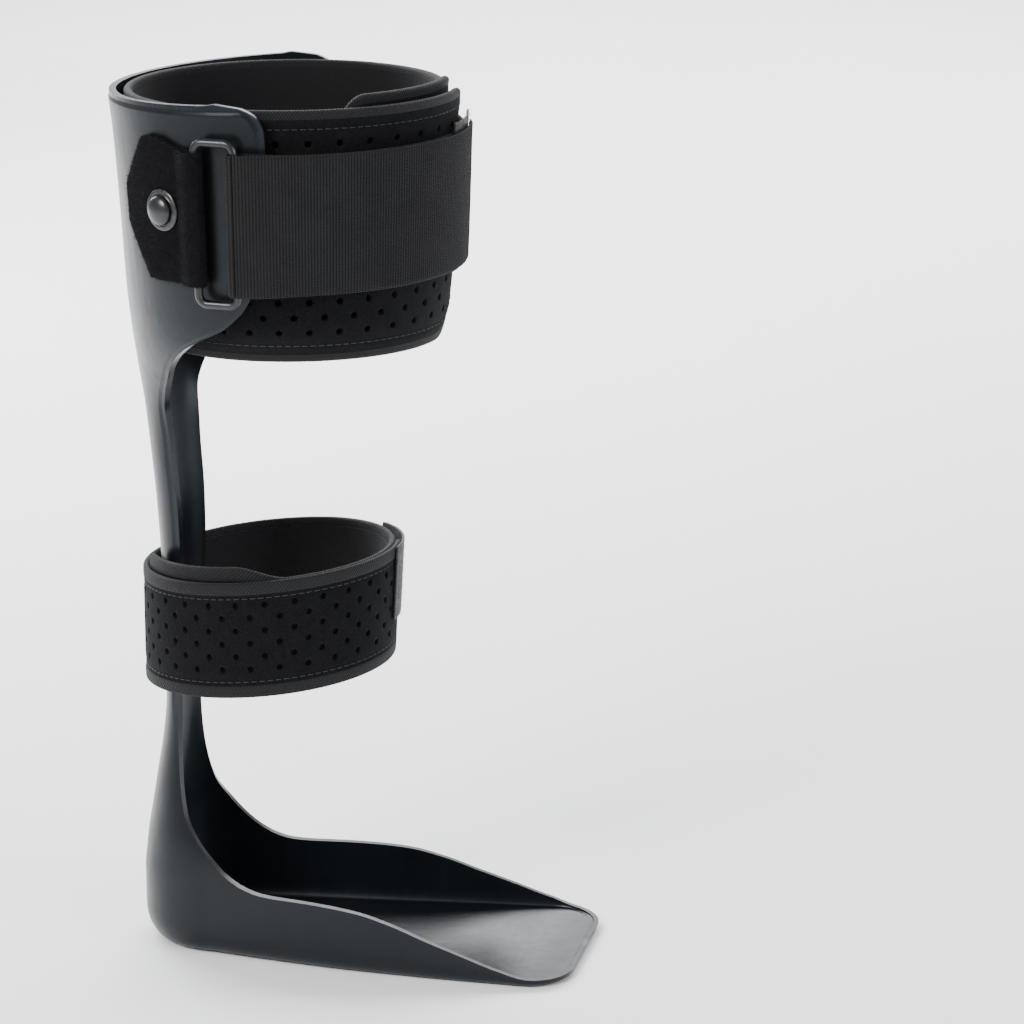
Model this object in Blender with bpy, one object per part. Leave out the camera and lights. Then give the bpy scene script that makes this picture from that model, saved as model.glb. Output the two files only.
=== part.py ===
"""Ankle foot orthosis for a right foot: a moulded plastic leaf-spring shell with a
padded calf cuff, an elastic calf strap through a ring, and a padded ankle wrap.

Frame: +X towards the toes, +Y to the inner (medial) side, +Z up, sole on z = 0.
The tables below are in millimetres; every mesh is built in metres.
"""
from math import acos, ceil, cos, hypot, pi, radians, sin

import bmesh
import bpy
import numpy as np
from mathutils import Matrix, Vector

MM = 0.001
LATERAL, MEDIAL = -1, 1
GAP = 0.3                     # air left between neighbouring solids

# Moulded shell. Each row is one level of the upright part:
# height, rear of the outer face, front trim edge, centre of the bow, half width.
SHELL_WALL = 2.9
LEVELS = [
    (27.0, -58.0, -13.8, -30.0, 30.0),
    (32.6, -57.4, -23.4, -30.0, 29.7),
    (40.8, -56.4, -30.9, -31.0, 28.4),
    (51.7, -54.4, -37.6, -34.5, 25.2),
    (64.7, -52.2, -40.0, -37.5, 21.5),
    (78.0, -49.9, -41.0, -38.6, 18.8),
    (90.0, -48.6, -41.3, -38.8, 17.6),
    (105.0, -48.1, -41.2, -38.6, 17.5),
    (125.0, -48.5, -40.0, -36.8, 18.6),
    (145.0, -49.3, -38.4, -35.0, 20.2),
    (165.0, -50.4, -38.8, -34.4, 21.6),
    (182.0, -51.8, -40.0, -35.2, 22.4),
    (195.0, -53.1, -41.0, -32.6, 24.6),
    (204.0, -54.0, -41.9, -27.6, 28.8),
    (211.0, -54.8, -40.6, -20.6, 35.4),
    (217.0, -55.5, -38.2, -13.2, 43.2),
    (223.0, -56.0, -35.6, -7.0, 51.0),
    (229.0, -56.6, -31.4, -3.0, 57.2),
    (236.0, -57.2, -22.6, -0.8, 61.8),
    (242.0, -57.8, -11.0, 0.0, 63.6),
    (253.0, -58.6, -1.2, 0.0, 64.9),
    (270.0, -59.5, 1.8, 0.0, 65.8),
    (290.0, -60.8, 3.8, 0.0, 66.4),
    (306.0, -62.0, 5.4, 0.0, 66.9),
    (312.0, -62.6, 4.9, 0.0, 67.0),
    (316.0, -63.0, 2.6, 0.0, 67.1),
    (319.0, -63.2, -2.2, 0.0, 67.2),
    (320.2, -63.3, -7.1, 0.0, 67.2),
]
RIM_DIP = 2.7                 # the rear of the top rim is this much lower than its sides
RIM_DIP_STARTS = 296.0
JOINT_HEIGHT = 105.0          # where the strut bends
JOINT_GAP = 1.6
CALF_COLUMNS = 13             # mesh columns on each side of the calf shell
HEEL_COLUMNS = 10

# Foot tray
TRAY_TOP = 27.0               # height of the heel cup's side wall
TRAY_FRONT = 108.0
TRAY_CORNER = 18.0
TRAY_SLANT = 1.5
TRAY_COLUMNS = 14             # columns on each side from the heel cup to the toe edge
TOE_COLUMNS = 3               # columns from each corner to the middle of the toe edge
TRAY_FLANK = {
    LATERAL: [(-30.0, 0.0), (31.0, 10.5), (81.0, 14.3), (108.0, 14.6)],
    MEDIAL: [(-30.0, 0.0), (31.0, 3.4), (81.0, 6.0), (108.0, 6.2)],
}
TRAY_TRIM = [(-13.8, 27.0), (-5.0, 25.6), (6.6, 25.0), (16.0, 24.5), (28.0, 23.2), (40.8, 19.9),
             (53.6, 15.2), (67.3, 10.4), (81.0, 5.6), (91.0, 3.0), (108.0, 2.4)]
MEDIAL_TRIM_SHIFT = 8.0
TRAY_WALL_FRONT = 1.8
FILLET_STEPS = 4
WALL_STEPS = 3

# Soft goods around the calf
PAD_LOW, PAD_HIGH = 229.0, 318.0
PAD_FOAM, PAD_LINING, PAD_BINDING = 3.4, 0.6, 3.0
PAD_SHELL_GAP = 1.8
PAD_FRONT = [(229.0, 55.5), (255.0, 58.4), (280.0, 59.4), (304.0, 60.2), (322.0, 62.6)]
PAD_OUTER_END, PAD_INNER_END = 187.0, -240.0
STRAP_LOW, STRAP_HIGH, STRAP_THICK, STRAP_SEAT = 255.3, 304.4, 1.4, 0.6
STRAP_MEDIAL_END = -50.0
TAIL_END = 193.0
HOOK_THICK = 0.6
RING_FRONT_BAR, RING_REAR_BAR = 86.2, 73.2
RING_LOW, RING_HIGH, RING_WIRE, RING_CORNER = 250.4, 309.4, 3.0, 3.0
RING_DEPTH = 4.2
TAB_LOW, TAB_HIGH, TAB_THICK, TAB_REAR = 258.0, 307.5, 1.1, 41.0
RIVET_BEARING, RIVET_HEIGHT = 60.0, 283.0
RIVET_SHANK, RIVET_HOLE, RIVET_DOME, RIVET_FLANGE = 2.2, 2.7, 5.2, 7.2

# Ankle wrap
WRAP_CENTRE, WRAP_RADIUS = -9.3, 46.3
WRAP_LOW, WRAP_HIGH, WRAP_TILT = 105.0, 147.5, 0.092
WRAP_FOAM, WRAP_LINING, WRAP_BINDING = 2.0, 0.5, 2.6
WRAP_HINGE, WRAP_OUTER_END, WRAP_INNER_END = 100.0, 196.0, -344.0


def smooth_value(table, at):
    """Monotone cubic through the table's (position, value) points, clamped at its ends."""
    xs = np.array([row[0] for row in table], float)
    ys = np.array([row[1] for row in table], float)
    at = min(max(at, xs[0]), xs[-1])
    slope = np.diff(ys) / np.diff(xs)
    tangent = np.zeros(len(xs))
    tangent[0], tangent[-1] = slope[0], slope[-1]
    for i in range(1, len(xs) - 1):
        if slope[i - 1] * slope[i] > 0:
            tangent[i] = 2 * slope[i - 1] * slope[i] / (slope[i - 1] + slope[i])
    i = min(int(np.searchsorted(xs, at, side="right")) - 1, len(xs) - 2)
    width = xs[i + 1] - xs[i]
    u = (at - xs[i]) / width
    return float((1 + 2 * u) * (1 - u) ** 2 * ys[i] + u * (1 - u) ** 2 * width * tangent[i]
                 + u * u * (3 - 2 * u) * ys[i + 1] + u * u * (u - 1) * width * tangent[i + 1])


def level(height):
    """Rear, front edge, bow centre and half width of the shell at a height."""
    return [smooth_value([(row[0], row[k]) for row in LEVELS], height) for k in (1, 2, 3, 4)]


def blend(start, end, fraction):
    return start + (end - start) * fraction


def material(name, colour, roughness, metallic=0.0):
    made = bpy.data.materials.new(name)
    made.use_nodes = True
    shader = made.node_tree.nodes["Principled BSDF"]
    shader.inputs["Base Color"].default_value = (*colour, 1.0)
    shader.inputs["Roughness"].default_value = roughness
    shader.inputs["Metallic"].default_value = metallic
    return made


def new_object(name, mesh_data, look):
    made = bpy.data.objects.new(name, mesh_data)
    bpy.context.scene.collection.objects.link(made)
    mesh_data.materials.append(material(name, *look))
    return made


def solid_from_sheet(name, outer, inner, faces, look):
    """Close the wall between an outer and an inner sheet that share one face list."""
    count = len(outer)
    used = {}
    for face in faces:
        for a, b in zip(face, face[1:] + face[:1]):
            used[(a, b)] = used.get((a, b), 0) + 1
    rims = [(a, b) for a, b in used if (b, a) not in used]
    bm = bmesh.new()
    points = [bm.verts.new(Vector(p) * MM) for p in list(outer) + list(inner)]
    for face in faces:
        bm.faces.new([points[i] for i in face])
        bm.faces.new([points[i + count] for i in reversed(face)])
    for a, b in rims:
        bm.faces.new([points[b], points[a], points[a + count], points[b + count]])
    bmesh.ops.recalc_face_normals(bm, faces=bm.faces)
    mesh_data = bpy.data.meshes.new(name)
    bm.to_mesh(mesh_data)
    bm.free()
    mesh_data.shade_smooth()
    mesh_data.set_sharp_from_angle(angle=radians(40))
    return new_object(name, mesh_data, look)


def grid_faces(rows, columns, first=0):
    """Quads of a rows by columns block of points."""
    return [[first + r * columns + c, first + r * columns + c + 1,
             first + (r + 1) * columns + c + 1, first + (r + 1) * columns + c]
            for r in range(rows - 1) for c in range(columns - 1)]


# ---------------------------------------------------------------- moulded shell

def half_section(height, side, reach=None):
    """Outer line of one level in plan, from the rear centre to the trim edge."""
    rear, edge, centre, half = level(height)
    edge = edge if reach is None else reach
    depth = centre - rear
    last = pi / 2 if edge >= centre else acos((centre - edge) / depth)
    line = [(centre - depth * cos(last * i / 60), half * sin(last * i / 60)) for i in range(61)]
    if edge > centre:
        steps = max(2, ceil((edge - centre) / 3))
        for i in range(1, steps + 1):
            x = blend(centre, edge, i / steps)
            spread = smooth_value(TRAY_FLANK[side], x) if height <= TRAY_TOP * 2 else 0.0
            line.append((x, half + spread))
    return [(x, side * y) for x, y in line]


def resample(line, count):
    """count + 1 evenly spaced points on a plan line, each with its unit normal."""
    points = np.array(line)
    steps = np.hypot(*np.diff(points, axis=0).T)
    length = np.concatenate([[0], np.cumsum(steps)])
    made = []
    for i in range(count + 1):
        at = length[-1] * i / count
        here = [np.interp(at, length, points[:, k]) for k in (0, 1)]
        before = [np.interp(at - 0.6, length, points[:, k]) for k in (0, 1)]
        after = [np.interp(at + 0.6, length, points[:, k]) for k in (0, 1)]
        dx, dy = after[0] - before[0], after[1] - before[1]
        made.append((here[0], here[1], dy / hypot(dx, dy), -dx / hypot(dx, dy)))
    return made


def level_points(height, columns, reach=None):
    """Points with normals from the lateral trim edge round the rear to the medial one."""
    sides = {}
    for side in (LATERAL, MEDIAL):
        made = resample(half_section(height, side, reach), columns)
        turned = []
        for x, y, nx, ny in made:
            sign = -1 if nx * (x + 20.0) * 0.02 + ny * y < 0 or (abs(y) < 0.5 and nx > 0) else 1
            turned.append((x, y, nx * sign, ny * sign))
        turned[0] = (turned[0][0], 0.0, -1.0, 0.0)
        sides[side] = turned
    return list(reversed(sides[LATERAL])) + sides[MEDIAL][1:]


def upright_sheets(heights, columns):
    """Outer and inner points of the shell between two heights, row by row."""
    outer, inner = [], []
    for height in heights:
        dip = max(0.0, (height - RIM_DIP_STARTS) / (LEVELS[-1][0] - RIM_DIP_STARTS)) * RIM_DIP
        row = level_points(height, columns)
        for i, (x, y, nx, ny) in enumerate(row):
            off_rear = abs(i - columns) / columns
            z = height - dip * (1 - off_rear ** 2)
            outer.append((x, y, z))
            inner.append((x - nx * SHELL_WALL, y - ny * SHELL_WALL, z))
    return outer, inner


def calf_heights():
    """Row heights, closer together where the trim edge turns."""
    low = JOINT_HEIGHT + JOINT_GAP / 2
    strut = [blend(low, 204.0, i / 7) for i in range(8)]
    flare = [blend(204.0, 253.0, i / 9) for i in range(1, 10)]
    cuff = [blend(253.0, 306.0, i / 5) for i in range(1, 6)]
    return strut + flare + cuff + [row[0] for row in LEVELS[-4:]]


def make_calf_shell(look):
    heights = calf_heights()
    outer, inner = upright_sheets(heights, CALF_COLUMNS)
    columns = 2 * CALF_COLUMNS + 1
    return solid_from_sheet("calf_shell", outer, inner, grid_faces(len(heights), columns), look)


def tray_front_points(side):
    """Plan points of the foot tray's outline from the heel cup to the toe end."""
    start = TRAY_TRIM[0][0]
    straight = TRAY_FRONT - TRAY_CORNER
    half = LEVELS[0][4]
    line = []
    for i in range(41):
        x = blend(start, straight, i / 40)
        line.append((x, half + smooth_value(TRAY_FLANK[side], x)))
    wide = line[-1][1]
    for i in range(1, 13):
        turn = pi / 2 * i / 12
        slant = TRAY_SLANT * side * sin(turn)
        line.append((straight + TRAY_CORNER * sin(turn) + slant,
                     wide - TRAY_CORNER * (1 - cos(turn))))
    made = resample([(x, side * y) for x, y in line], TRAY_COLUMNS)
    turned = []
    for x, y, nx, ny in made:
        sign = 1 if ny * y + nx * 5 > 0 else -1
        turned.append((x, y, nx * sign, ny * sign))
    return turned


def tray_columns():
    """Every tray column, from the middle of the toe edge by the lateral side and the heel
    back to the medial toe corner and along the toe edge."""
    heel = level_points(TRAY_TOP, HEEL_COLUMNS)
    lateral, medial = tray_front_points(LATERAL), tray_front_points(MEDIAL)
    lateral[0], medial[0] = heel[0], heel[-1]
    across = np.array(medial[-1][:2]) - np.array(lateral[-1][:2])
    ahead = np.array([across[1], -across[0]]) / hypot(*across)
    toe = [(*(np.array(lateral[-1][:2]) + across * i / (2 * TOE_COLUMNS)), *ahead)
           for i in range(1, 2 * TOE_COLUMNS)]
    return (list(reversed(lateral[1:] + toe[:TOE_COLUMNS])) + heel + medial[1:]
            + list(reversed(toe[TOE_COLUMNS:])))


def sole_faces(first_toe, middle, count):
    """Faces of the flat sole: rungs from side to side, and a fan at the toe edge."""
    faces = [[middle, middle - 1, middle + 1]]
    for j in range(1, middle - first_toe - 1):
        faces.append([middle - j, middle - j - 1, middle + j + 1, middle + j])
    left, right = first_toe + 1, 2 * middle - first_toe - 1
    for j in range(first_toe, 0, -1):
        faces.append([left, j, j - 1])
    faces.append([left, 0, right])
    for j in range(right + 1, count):
        faces.append([right, (j + 1) % count, j])
    return faces


def make_foot_shell(look):
    """Flat sole, rounded up into side walls and a heel cup that rises into the strut."""
    columns = tray_columns()
    middle = TOE_COLUMNS + TRAY_COLUMNS + HEEL_COLUMNS
    rows = FILLET_STEPS + WALL_STEPS + 1
    outer, inner = [], []
    for k in range(rows):
        for j, (x, y, nx, ny) in enumerate(columns):
            side = MEDIAL if j > middle else LATERAL
            trim_x = x - (MEDIAL_TRIM_SHIFT if side == MEDIAL else 0.0)
            ahead = abs(j - middle) > HEEL_COLUMNS
            top = smooth_value(TRAY_TRIM, trim_x) if ahead else TRAY_TOP
            forward = min(max((x - TRAY_TRIM[0][0]) / (TRAY_FRONT - TRAY_TRIM[0][0]), 0.0), 1.0)
            rearward = min(max((TRAY_TRIM[0][0] - x) / 45.0, 0.0), 1.0)
            wall = blend(SHELL_WALL, TRAY_WALL_FRONT, forward)
            reach = blend(5.2, 7.6, rearward) if x < TRAY_TRIM[0][0] else blend(5.2, 2.4, forward)
            rise = min(blend(8.0, 12.0, rearward), top - 0.3)
            turn = pi / 2 * min(k / FILLET_STEPS, 1.0)
            if k <= FILLET_STEPS:
                z, z_in = rise * (1 - cos(turn)), wall + (rise - wall) * (1 - cos(turn))
            else:
                z = z_in = blend(rise, top, (k - FILLET_STEPS) / WALL_STEPS)
            back_out = reach * (1 - sin(turn))
            back_in = reach - (reach - wall) * sin(turn)
            outer.append((x - nx * back_out, y - ny * back_out, z))
            inner.append((x - nx * back_in, y - ny * back_in, z_in))
    count = len(columns)
    faces = grid_faces(rows, count)
    faces += [[r * count + count - 1, r * count, (r + 1) * count, (r + 1) * count + count - 1]
              for r in range(rows - 1)]
    faces += sole_faces(TOE_COLUMNS, middle, count)
    heel_first = len(outer)
    top = JOINT_HEIGHT - JOINT_GAP / 2
    heights = [29.5, 32.6, 36.5, 40.8, 46.0, 51.7, 58.0, 65.0, 78.0, 91.0, top]
    more_outer, more_inner = upright_sheets(heights, HEEL_COLUMNS)
    outer += more_outer
    inner += more_inner
    width = 2 * HEEL_COLUMNS + 1
    below = (rows - 1) * count + middle - HEEL_COLUMNS
    for c in range(width - 1):
        faces.append([below + c, below + c + 1, heel_first + c + 1, heel_first + c])
    faces += grid_faces(len(heights), width, heel_first)
    return solid_from_sheet("foot_shell", outer, inner, faces, look)


# ------------------------------------------------------------------ wrapped parts

def calf_place(bearing, height, depth):
    """Point on the cuff: bearing 0 is the rear, 90 lateral, 180 the front; depth 0 is the
    outer face of the shell behind the trim edge and of the pad in front of it."""
    rear, _, _, half = level(height)
    turn = radians(bearing)
    front = smooth_value(PAD_FRONT, height)
    reach = -rear if cos(turn) >= 0 else front
    pad_side = max(-cos(turn), 0.0) ** 2
    side = blend(half, half - 0.6, pad_side)
    return (-(reach + depth) * cos(turn), -(side + depth) * sin(turn), height)


def pad_place(bearing, height, depth):
    """Point on the pad: depth 0 is its outer face, inside the shell."""
    rear, _, _, half = level(max(height, 232.0))
    inset = SHELL_WALL + PAD_SHELL_GAP
    if height < 242.0:
        half -= (242.0 - height) * 0.12
    turn = radians(bearing)
    reach = -rear - inset if cos(turn) >= 0 else smooth_value(PAD_FRONT, height)
    return (-(reach + depth) * cos(turn), -(half - inset + depth) * sin(turn), height)


def wrap_place(bearing, height, depth):
    """Point on the ankle wrap, which rises towards the front."""
    turn = radians(bearing)
    front = WRAP_RADIUS - 1.0 + 2.4 * (height - WRAP_LOW) / (WRAP_HIGH - WRAP_LOW)
    reach = WRAP_RADIUS if cos(turn) >= 0 else front
    x = WRAP_CENTRE - (reach + depth) * cos(turn)
    return (x, -(WRAP_RADIUS + depth) * sin(turn), height + WRAP_TILT * (x - WRAP_CENTRE))


def ribbon(name, place, line, low, high, thick, look, rows=2):
    """Band of even thickness along a line of (bearing, depth) points of its middle."""
    scale = 1.14
    centre = np.array([(b * scale, d) for b, d in line])
    ahead = np.gradient(centre, axis=0)
    ahead /= np.hypot(ahead[:, 0], ahead[:, 1])[:, None]
    sideways = np.stack([-ahead[:, 1], ahead[:, 0]], axis=1) * thick / 2
    outer, inner = [], []
    for k in range(rows):
        for i, (bearing, _) in enumerate(line):
            bottom = low(bearing) if callable(low) else low
            top = high(bearing) if callable(high) else high
            z = blend(bottom, top, k / (rows - 1))
            for sheet, sign in ((outer, 1), (inner, -1)):
                b, d = centre[i] + sign * sideways[i]
                sheet.append(place(b / scale, z, d))
    return solid_from_sheet(name, outer, inner, grid_faces(rows, len(line)), look)


def tape_heights(low, high, width, spans):
    """Edges of a tape that frames a ribbon, with the rows that its ends need between."""
    return [low] + [blend(low + width, high - width, i / spans) for i in range(spans + 1)] + [high]


def arc_line(start, end, depth, step=5.0):
    """Evenly spaced line between two bearings; depth is a number or a function."""
    count = max(2, ceil(abs(end - start) / step))
    bearings = [blend(start, end, i / count) for i in range(count + 1)]
    return [(b, depth(b) if callable(depth) else depth) for b in bearings]


def edge_tape(name, place, line, heights, thick, look, ends):
    """Binding tape along the long edges of a ribbon and across the chosen ends. The line's
    first and last two points, and its first and last two heights, span the tape's width."""
    outer, inner = [], []
    for z in heights:
        for bearing, depth in line:
            outer.append(place(bearing, z, depth + thick / 2))
            inner.append(place(bearing, z, depth - thick / 2))
    columns = len(line)
    kept = []
    for k, face in enumerate(grid_faces(len(heights), columns)):
        row, column = divmod(k, columns - 1)
        across = (column == 0 and ends[0]) or (column == columns - 2 and ends[1])
        if row in (0, len(heights) - 2) or across:
            kept.append(face)
    return solid_from_sheet(name, outer, inner, kept, look)


def pad_layer_depth(bearing):
    """Depth of the calf pad's foam: 0 on the outer turn, one layer in under its end."""
    layer = PAD_FOAM + PAD_LINING + 2 * GAP
    return -layer * min(max((-105.0 - bearing) / 50.0, 0.0), 1.0)


def make_calf_pad(foam_look, lining_look, binding_look):
    """Foam wrap that goes once round the calf and overlaps itself at the front."""
    def foam(b):
        return pad_layer_depth(b) - PAD_FOAM / 2

    def lining(b):
        return pad_layer_depth(b) - PAD_FOAM - GAP - PAD_LINING / 2

    def edge(b):
        return pad_layer_depth(b) - (PAD_FOAM + GAP + PAD_LINING) / 2

    whole = PAD_FOAM + GAP + PAD_LINING
    start, end = PAD_OUTER_END - 3.2, PAD_INNER_END + 3.2
    low, high = PAD_LOW + PAD_BINDING + GAP, PAD_HIGH - PAD_BINDING - GAP
    ribbon("calf_pad", pad_place, arc_line(start, end, foam), low, high, PAD_FOAM, foam_look, 4)
    ribbon("calf_pad_lining", pad_place, arc_line(start, end, lining), low, high, PAD_LINING,
           lining_look, 4)
    line = ([(PAD_OUTER_END, edge(PAD_OUTER_END))] + arc_line(start + 0.4, end - 0.4, edge)
            + [(PAD_INNER_END, edge(PAD_INNER_END))])
    heights = tape_heights(PAD_LOW, PAD_HIGH, PAD_BINDING, 3)
    edge_tape("calf_pad_binding", pad_place, line, heights, whole, binding_look, (True, True))


def make_pad_hook_strips(look):
    """Two hook strips stuck inside the rear of the shell, which hold the pad."""
    depth = -SHELL_WALL - PAD_SHELL_GAP / 2
    for name, low, high in (("pad_hook_strip_lower", 242.0, 264.0),
                            ("pad_hook_strip_upper", 282.0, 304.0)):
        ribbon(name, calf_place, arc_line(-22.0, 22.0, depth), low, high, 0.8, look, 3)


def fold_line(bar, radius, forward, steps=8):
    """Half turn round a ring bar, from under it to over it; forward is +1 or -1."""
    line = []
    for i in range(steps + 1):
        turn = pi * i / steps
        line.append((bar + forward * radius * sin(turn) / 1.14,
                     RING_DEPTH - radius * cos(turn)))
    return line


def tab_limit(bearing, full, sign):
    """Upper or lower edge of the tab, cut back in straight chamfers towards its rear."""
    along = (bearing - TAB_REAR) * 1.14
    cut = max(0.0, 15.0 - along * 1.25) + max(0.0, 2.5 - along * 0.2)
    return full - sign * cut


def neck(bearing):
    """How far the tab's top edge drops to pass through the ring."""
    return 3.2 * min(max((bearing - 58.0) / 8.0, 0.0), 1.0)


def make_ring_tab(look):
    """Loop-fabric tab folded round the ring's rear bar, both layers under the rivet."""
    under = GAP + TAB_THICK / 2 + 0.05
    over = under + TAB_THICK + GAP
    radius = RING_WIRE / 2 + GAP + TAB_THICK / 2 + 0.1
    line = arc_line(TAB_REAR, RING_REAR_BAR - 3.0, under, 2.2)
    line += fold_line(RING_REAR_BAR, radius, 1)
    back = arc_line(RING_REAR_BAR - 1.0, TAB_REAR, over, 2.2)
    top = RING_DEPTH + radius
    for i, (bearing, _) in enumerate(back):
        ease = min(1.0, i / 3)
        back[i] = (bearing, blend(top, over, ease * ease * (3 - 2 * ease)))
    line += back
    return ribbon("ring_tab", calf_place, line, lambda b: tab_limit(b, TAB_LOW, -1),
                  lambda b: tab_limit(b, TAB_HIGH, 1) - neck(b), TAB_THICK, look, 2)


def ring_frame():
    """Centre and axes of the flat ring on the cuff."""
    bearing = (RING_FRONT_BAR + RING_REAR_BAR) / 2
    middle = (RING_LOW + RING_HIGH) / 2
    centre = Vector(calf_place(bearing, middle, RING_DEPTH - 0.45))
    along = Vector(calf_place(bearing + 3, middle, 0)) - Vector(calf_place(bearing - 3, middle, 0))
    up = Vector(calf_place(bearing, RING_HIGH, 0)) - Vector(calf_place(bearing, RING_LOW, 0))
    return centre, along.normalized(), up.normalized()


def make_strap_ring(look):
    """Rectangular ring with rounded corners, swept from a round wire."""
    centre, along, up = ring_frame()
    middle = (RING_LOW + RING_HIGH) / 2
    bars = (Vector(calf_place(RING_FRONT_BAR, middle, RING_DEPTH))
            - Vector(calf_place(RING_REAR_BAR, middle, RING_DEPTH))).length / 2
    tall = (RING_HIGH - RING_LOW - RING_WIRE) / 2
    points = []
    for quarter, (sx, sz) in enumerate(((1, 1), (-1, 1), (-1, -1), (1, -1))):
        for i in range(5):
            turn = pi / 2 * (quarter + i / 4)
            points.append(centre + along * (sx * (bars - RING_CORNER) + RING_CORNER * cos(turn))
                          + up * (sz * (tall - RING_CORNER) + RING_CORNER * sin(turn)))
    curve = bpy.data.curves.new("strap_ring", "CURVE")
    curve.dimensions = "3D"
    spline = curve.splines.new("POLY")
    spline.points.add(len(points) - 1)
    for target, point in zip(spline.points, points):
        target.co = (*(point * MM), 1.0)
    spline.use_cyclic_u = True
    curve.bevel_depth = RING_WIRE / 2 * MM
    curve.bevel_resolution = 2
    return new_object("strap_ring", curve, look)


def strap_radius():
    return RING_WIRE / 2 + GAP + STRAP_THICK / 2 + 0.2


def make_calf_strap(look):
    """Elastic band riveted on the medial wing, round the front, under and round the ring's
    front bar."""
    rest = STRAP_SEAT + STRAP_THICK / 2
    line = arc_line(STRAP_MEDIAL_END, RING_FRONT_BAR - 360.0 + 5.0, rest, 4.0)
    fold = fold_line(RING_FRONT_BAR - 360.0, strap_radius(), -1)
    return ribbon("calf_strap", calf_place, line + fold, STRAP_LOW, STRAP_HIGH, STRAP_THICK,
                  look, 2)


def tail_depth(bearing):
    """Middle of the folded-back layer: over the ring bar first, then against the strap."""
    over = RING_DEPTH + strap_radius()
    resting = STRAP_SEAT + 1.5 * STRAP_THICK + 2 * GAP + HOOK_THICK
    ease = min(max((bearing - RING_FRONT_BAR) / 26.0, 0.0), 1.0)
    return blend(over, resting, ease * ease * (3 - 2 * ease))


def make_strap_tail(look, hook_look):
    """Folded-back end of the elastic band, and the hook tab under its free end."""
    ribbon("calf_strap_tail", calf_place, arc_line(RING_FRONT_BAR + 1.3, TAIL_END, tail_depth, 4.0),
           STRAP_LOW, STRAP_HIGH, STRAP_THICK, look, 2)
    hook = STRAP_SEAT + STRAP_THICK + GAP + HOOK_THICK / 2
    ribbon("calf_strap_hook_tab", calf_place, arc_line(168.0, TAIL_END + 2.0, hook, 4.0),
           STRAP_LOW - 0.8, STRAP_HIGH + 3.2, HOOK_THICK, hook_look, 2)


def rivet_frame(side):
    """Matrix whose Z points out of the shell at the rivet, from the shell's outer face."""
    bearing = RIVET_BEARING * -side
    origin = Vector(calf_place(bearing, RIVET_HEIGHT, 0.0))
    along = Vector(calf_place(bearing + 2, RIVET_HEIGHT, 0)) - Vector(
        calf_place(bearing - 2, RIVET_HEIGHT, 0))
    up = Vector(calf_place(bearing, RIVET_HEIGHT + 4, 0)) - Vector(
        calf_place(bearing, RIVET_HEIGHT - 4, 0))
    out = along.cross(up).normalized()
    if out.dot(origin) < 0:
        out = -out
    turn = out.to_track_quat("Z", "Y").to_matrix().to_4x4()
    return Matrix.Translation(origin * MM) @ turn


def turned(name, profile, frame, look=None, steps=20):
    """Solid of revolution about the frame's Z from (radius, height) points, closed."""
    bm = bmesh.new()
    ring = [bm.verts.new((r * MM, 0, z * MM)) for r, z in profile]
    closed = profile[0][0] > 0
    edges = [bm.edges.new(pair) for pair in zip(ring, ring[1:])]
    if closed:
        edges.append(bm.edges.new((ring[-1], ring[0])))
    bmesh.ops.spin(bm, geom=ring + edges, cent=(0, 0, 0), axis=(0, 0, 1), angle=2 * pi,
                   steps=steps)
    bmesh.ops.remove_doubles(bm, verts=bm.verts, dist=1e-6)
    bmesh.ops.recalc_face_normals(bm, faces=bm.faces)
    bm.transform(frame)
    mesh_data = bpy.data.meshes.new(name)
    bm.to_mesh(mesh_data)
    bm.free()
    mesh_data.shade_smooth()
    mesh_data.set_sharp_from_angle(angle=radians(40))
    if look is None:
        made = bpy.data.objects.new(name, mesh_data)
        bpy.context.scene.collection.objects.link(made)
        return made
    return new_object(name, mesh_data, look)


def make_rivet(side, stack, look, washer_look):
    """Domed rivet, its washer outside and its flange inside the shell; stack is the
    thickness of the fabric under the washer."""
    word = "medial" if side == MEDIAL else "lateral"
    frame = rivet_frame(side)
    seat = stack + GAP
    washer = seat + 0.8
    dome = washer + GAP
    inside = -SHELL_WALL - GAP - 0.2
    steps = 5
    crown = [(RIVET_DOME * cos(pi / 2 * i / steps), dome + 0.5 + 2.4 * sin(pi / 2 * i / steps))
             for i in range(steps)]
    profile = [(0.0, inside - 0.8), (RIVET_SHANK, inside - 0.8), (RIVET_SHANK, dome),
               (RIVET_DOME, dome)] + crown + [(0.0, dome + 2.9)]
    turned(word + "_rivet_head", profile, frame, look)
    ring = RIVET_SHANK + GAP
    turned(word + "_rivet_washer",
           [(ring, seat), (RIVET_FLANGE, seat), (RIVET_FLANGE, seat + 0.5),
            (RIVET_FLANGE - 0.7, washer), (ring, washer)], frame, washer_look)
    turned(word + "_rivet_flange",
           [(ring, inside - 0.9), (5.4, inside - 0.9), (5.4, inside), (ring, inside)],
           frame, washer_look)


def drill_rivet_hole(side, targets):
    """Cut the rivet's clearance hole through each target."""
    cutter = turned("hole_cutter_" + str(side + 1),
                    [(0.0, -8.0), (RIVET_HOLE, -8.0), (RIVET_HOLE, 12.0), (0.0, 12.0)],
                    rivet_frame(side), None, 16)
    cutter.hide_render = True
    cutter.display_type = "WIRE"
    for name in targets:
        cut = bpy.data.objects[name].modifiers.new("rivet hole", "BOOLEAN")
        cut.operation = "DIFFERENCE"
        cut.solver = "EXACT"
        cut.object = cutter


# ------------------------------------------------------------------- ankle wrap

def wrap_layer_depth(bearing):
    """Depth of the wrap's outer face: 0 on the outer turn, one layer in under its end."""
    return -(WRAP_FOAM + GAP) * min(max((-110.0 - bearing) / 45.0, 0.0), 1.0)


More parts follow.
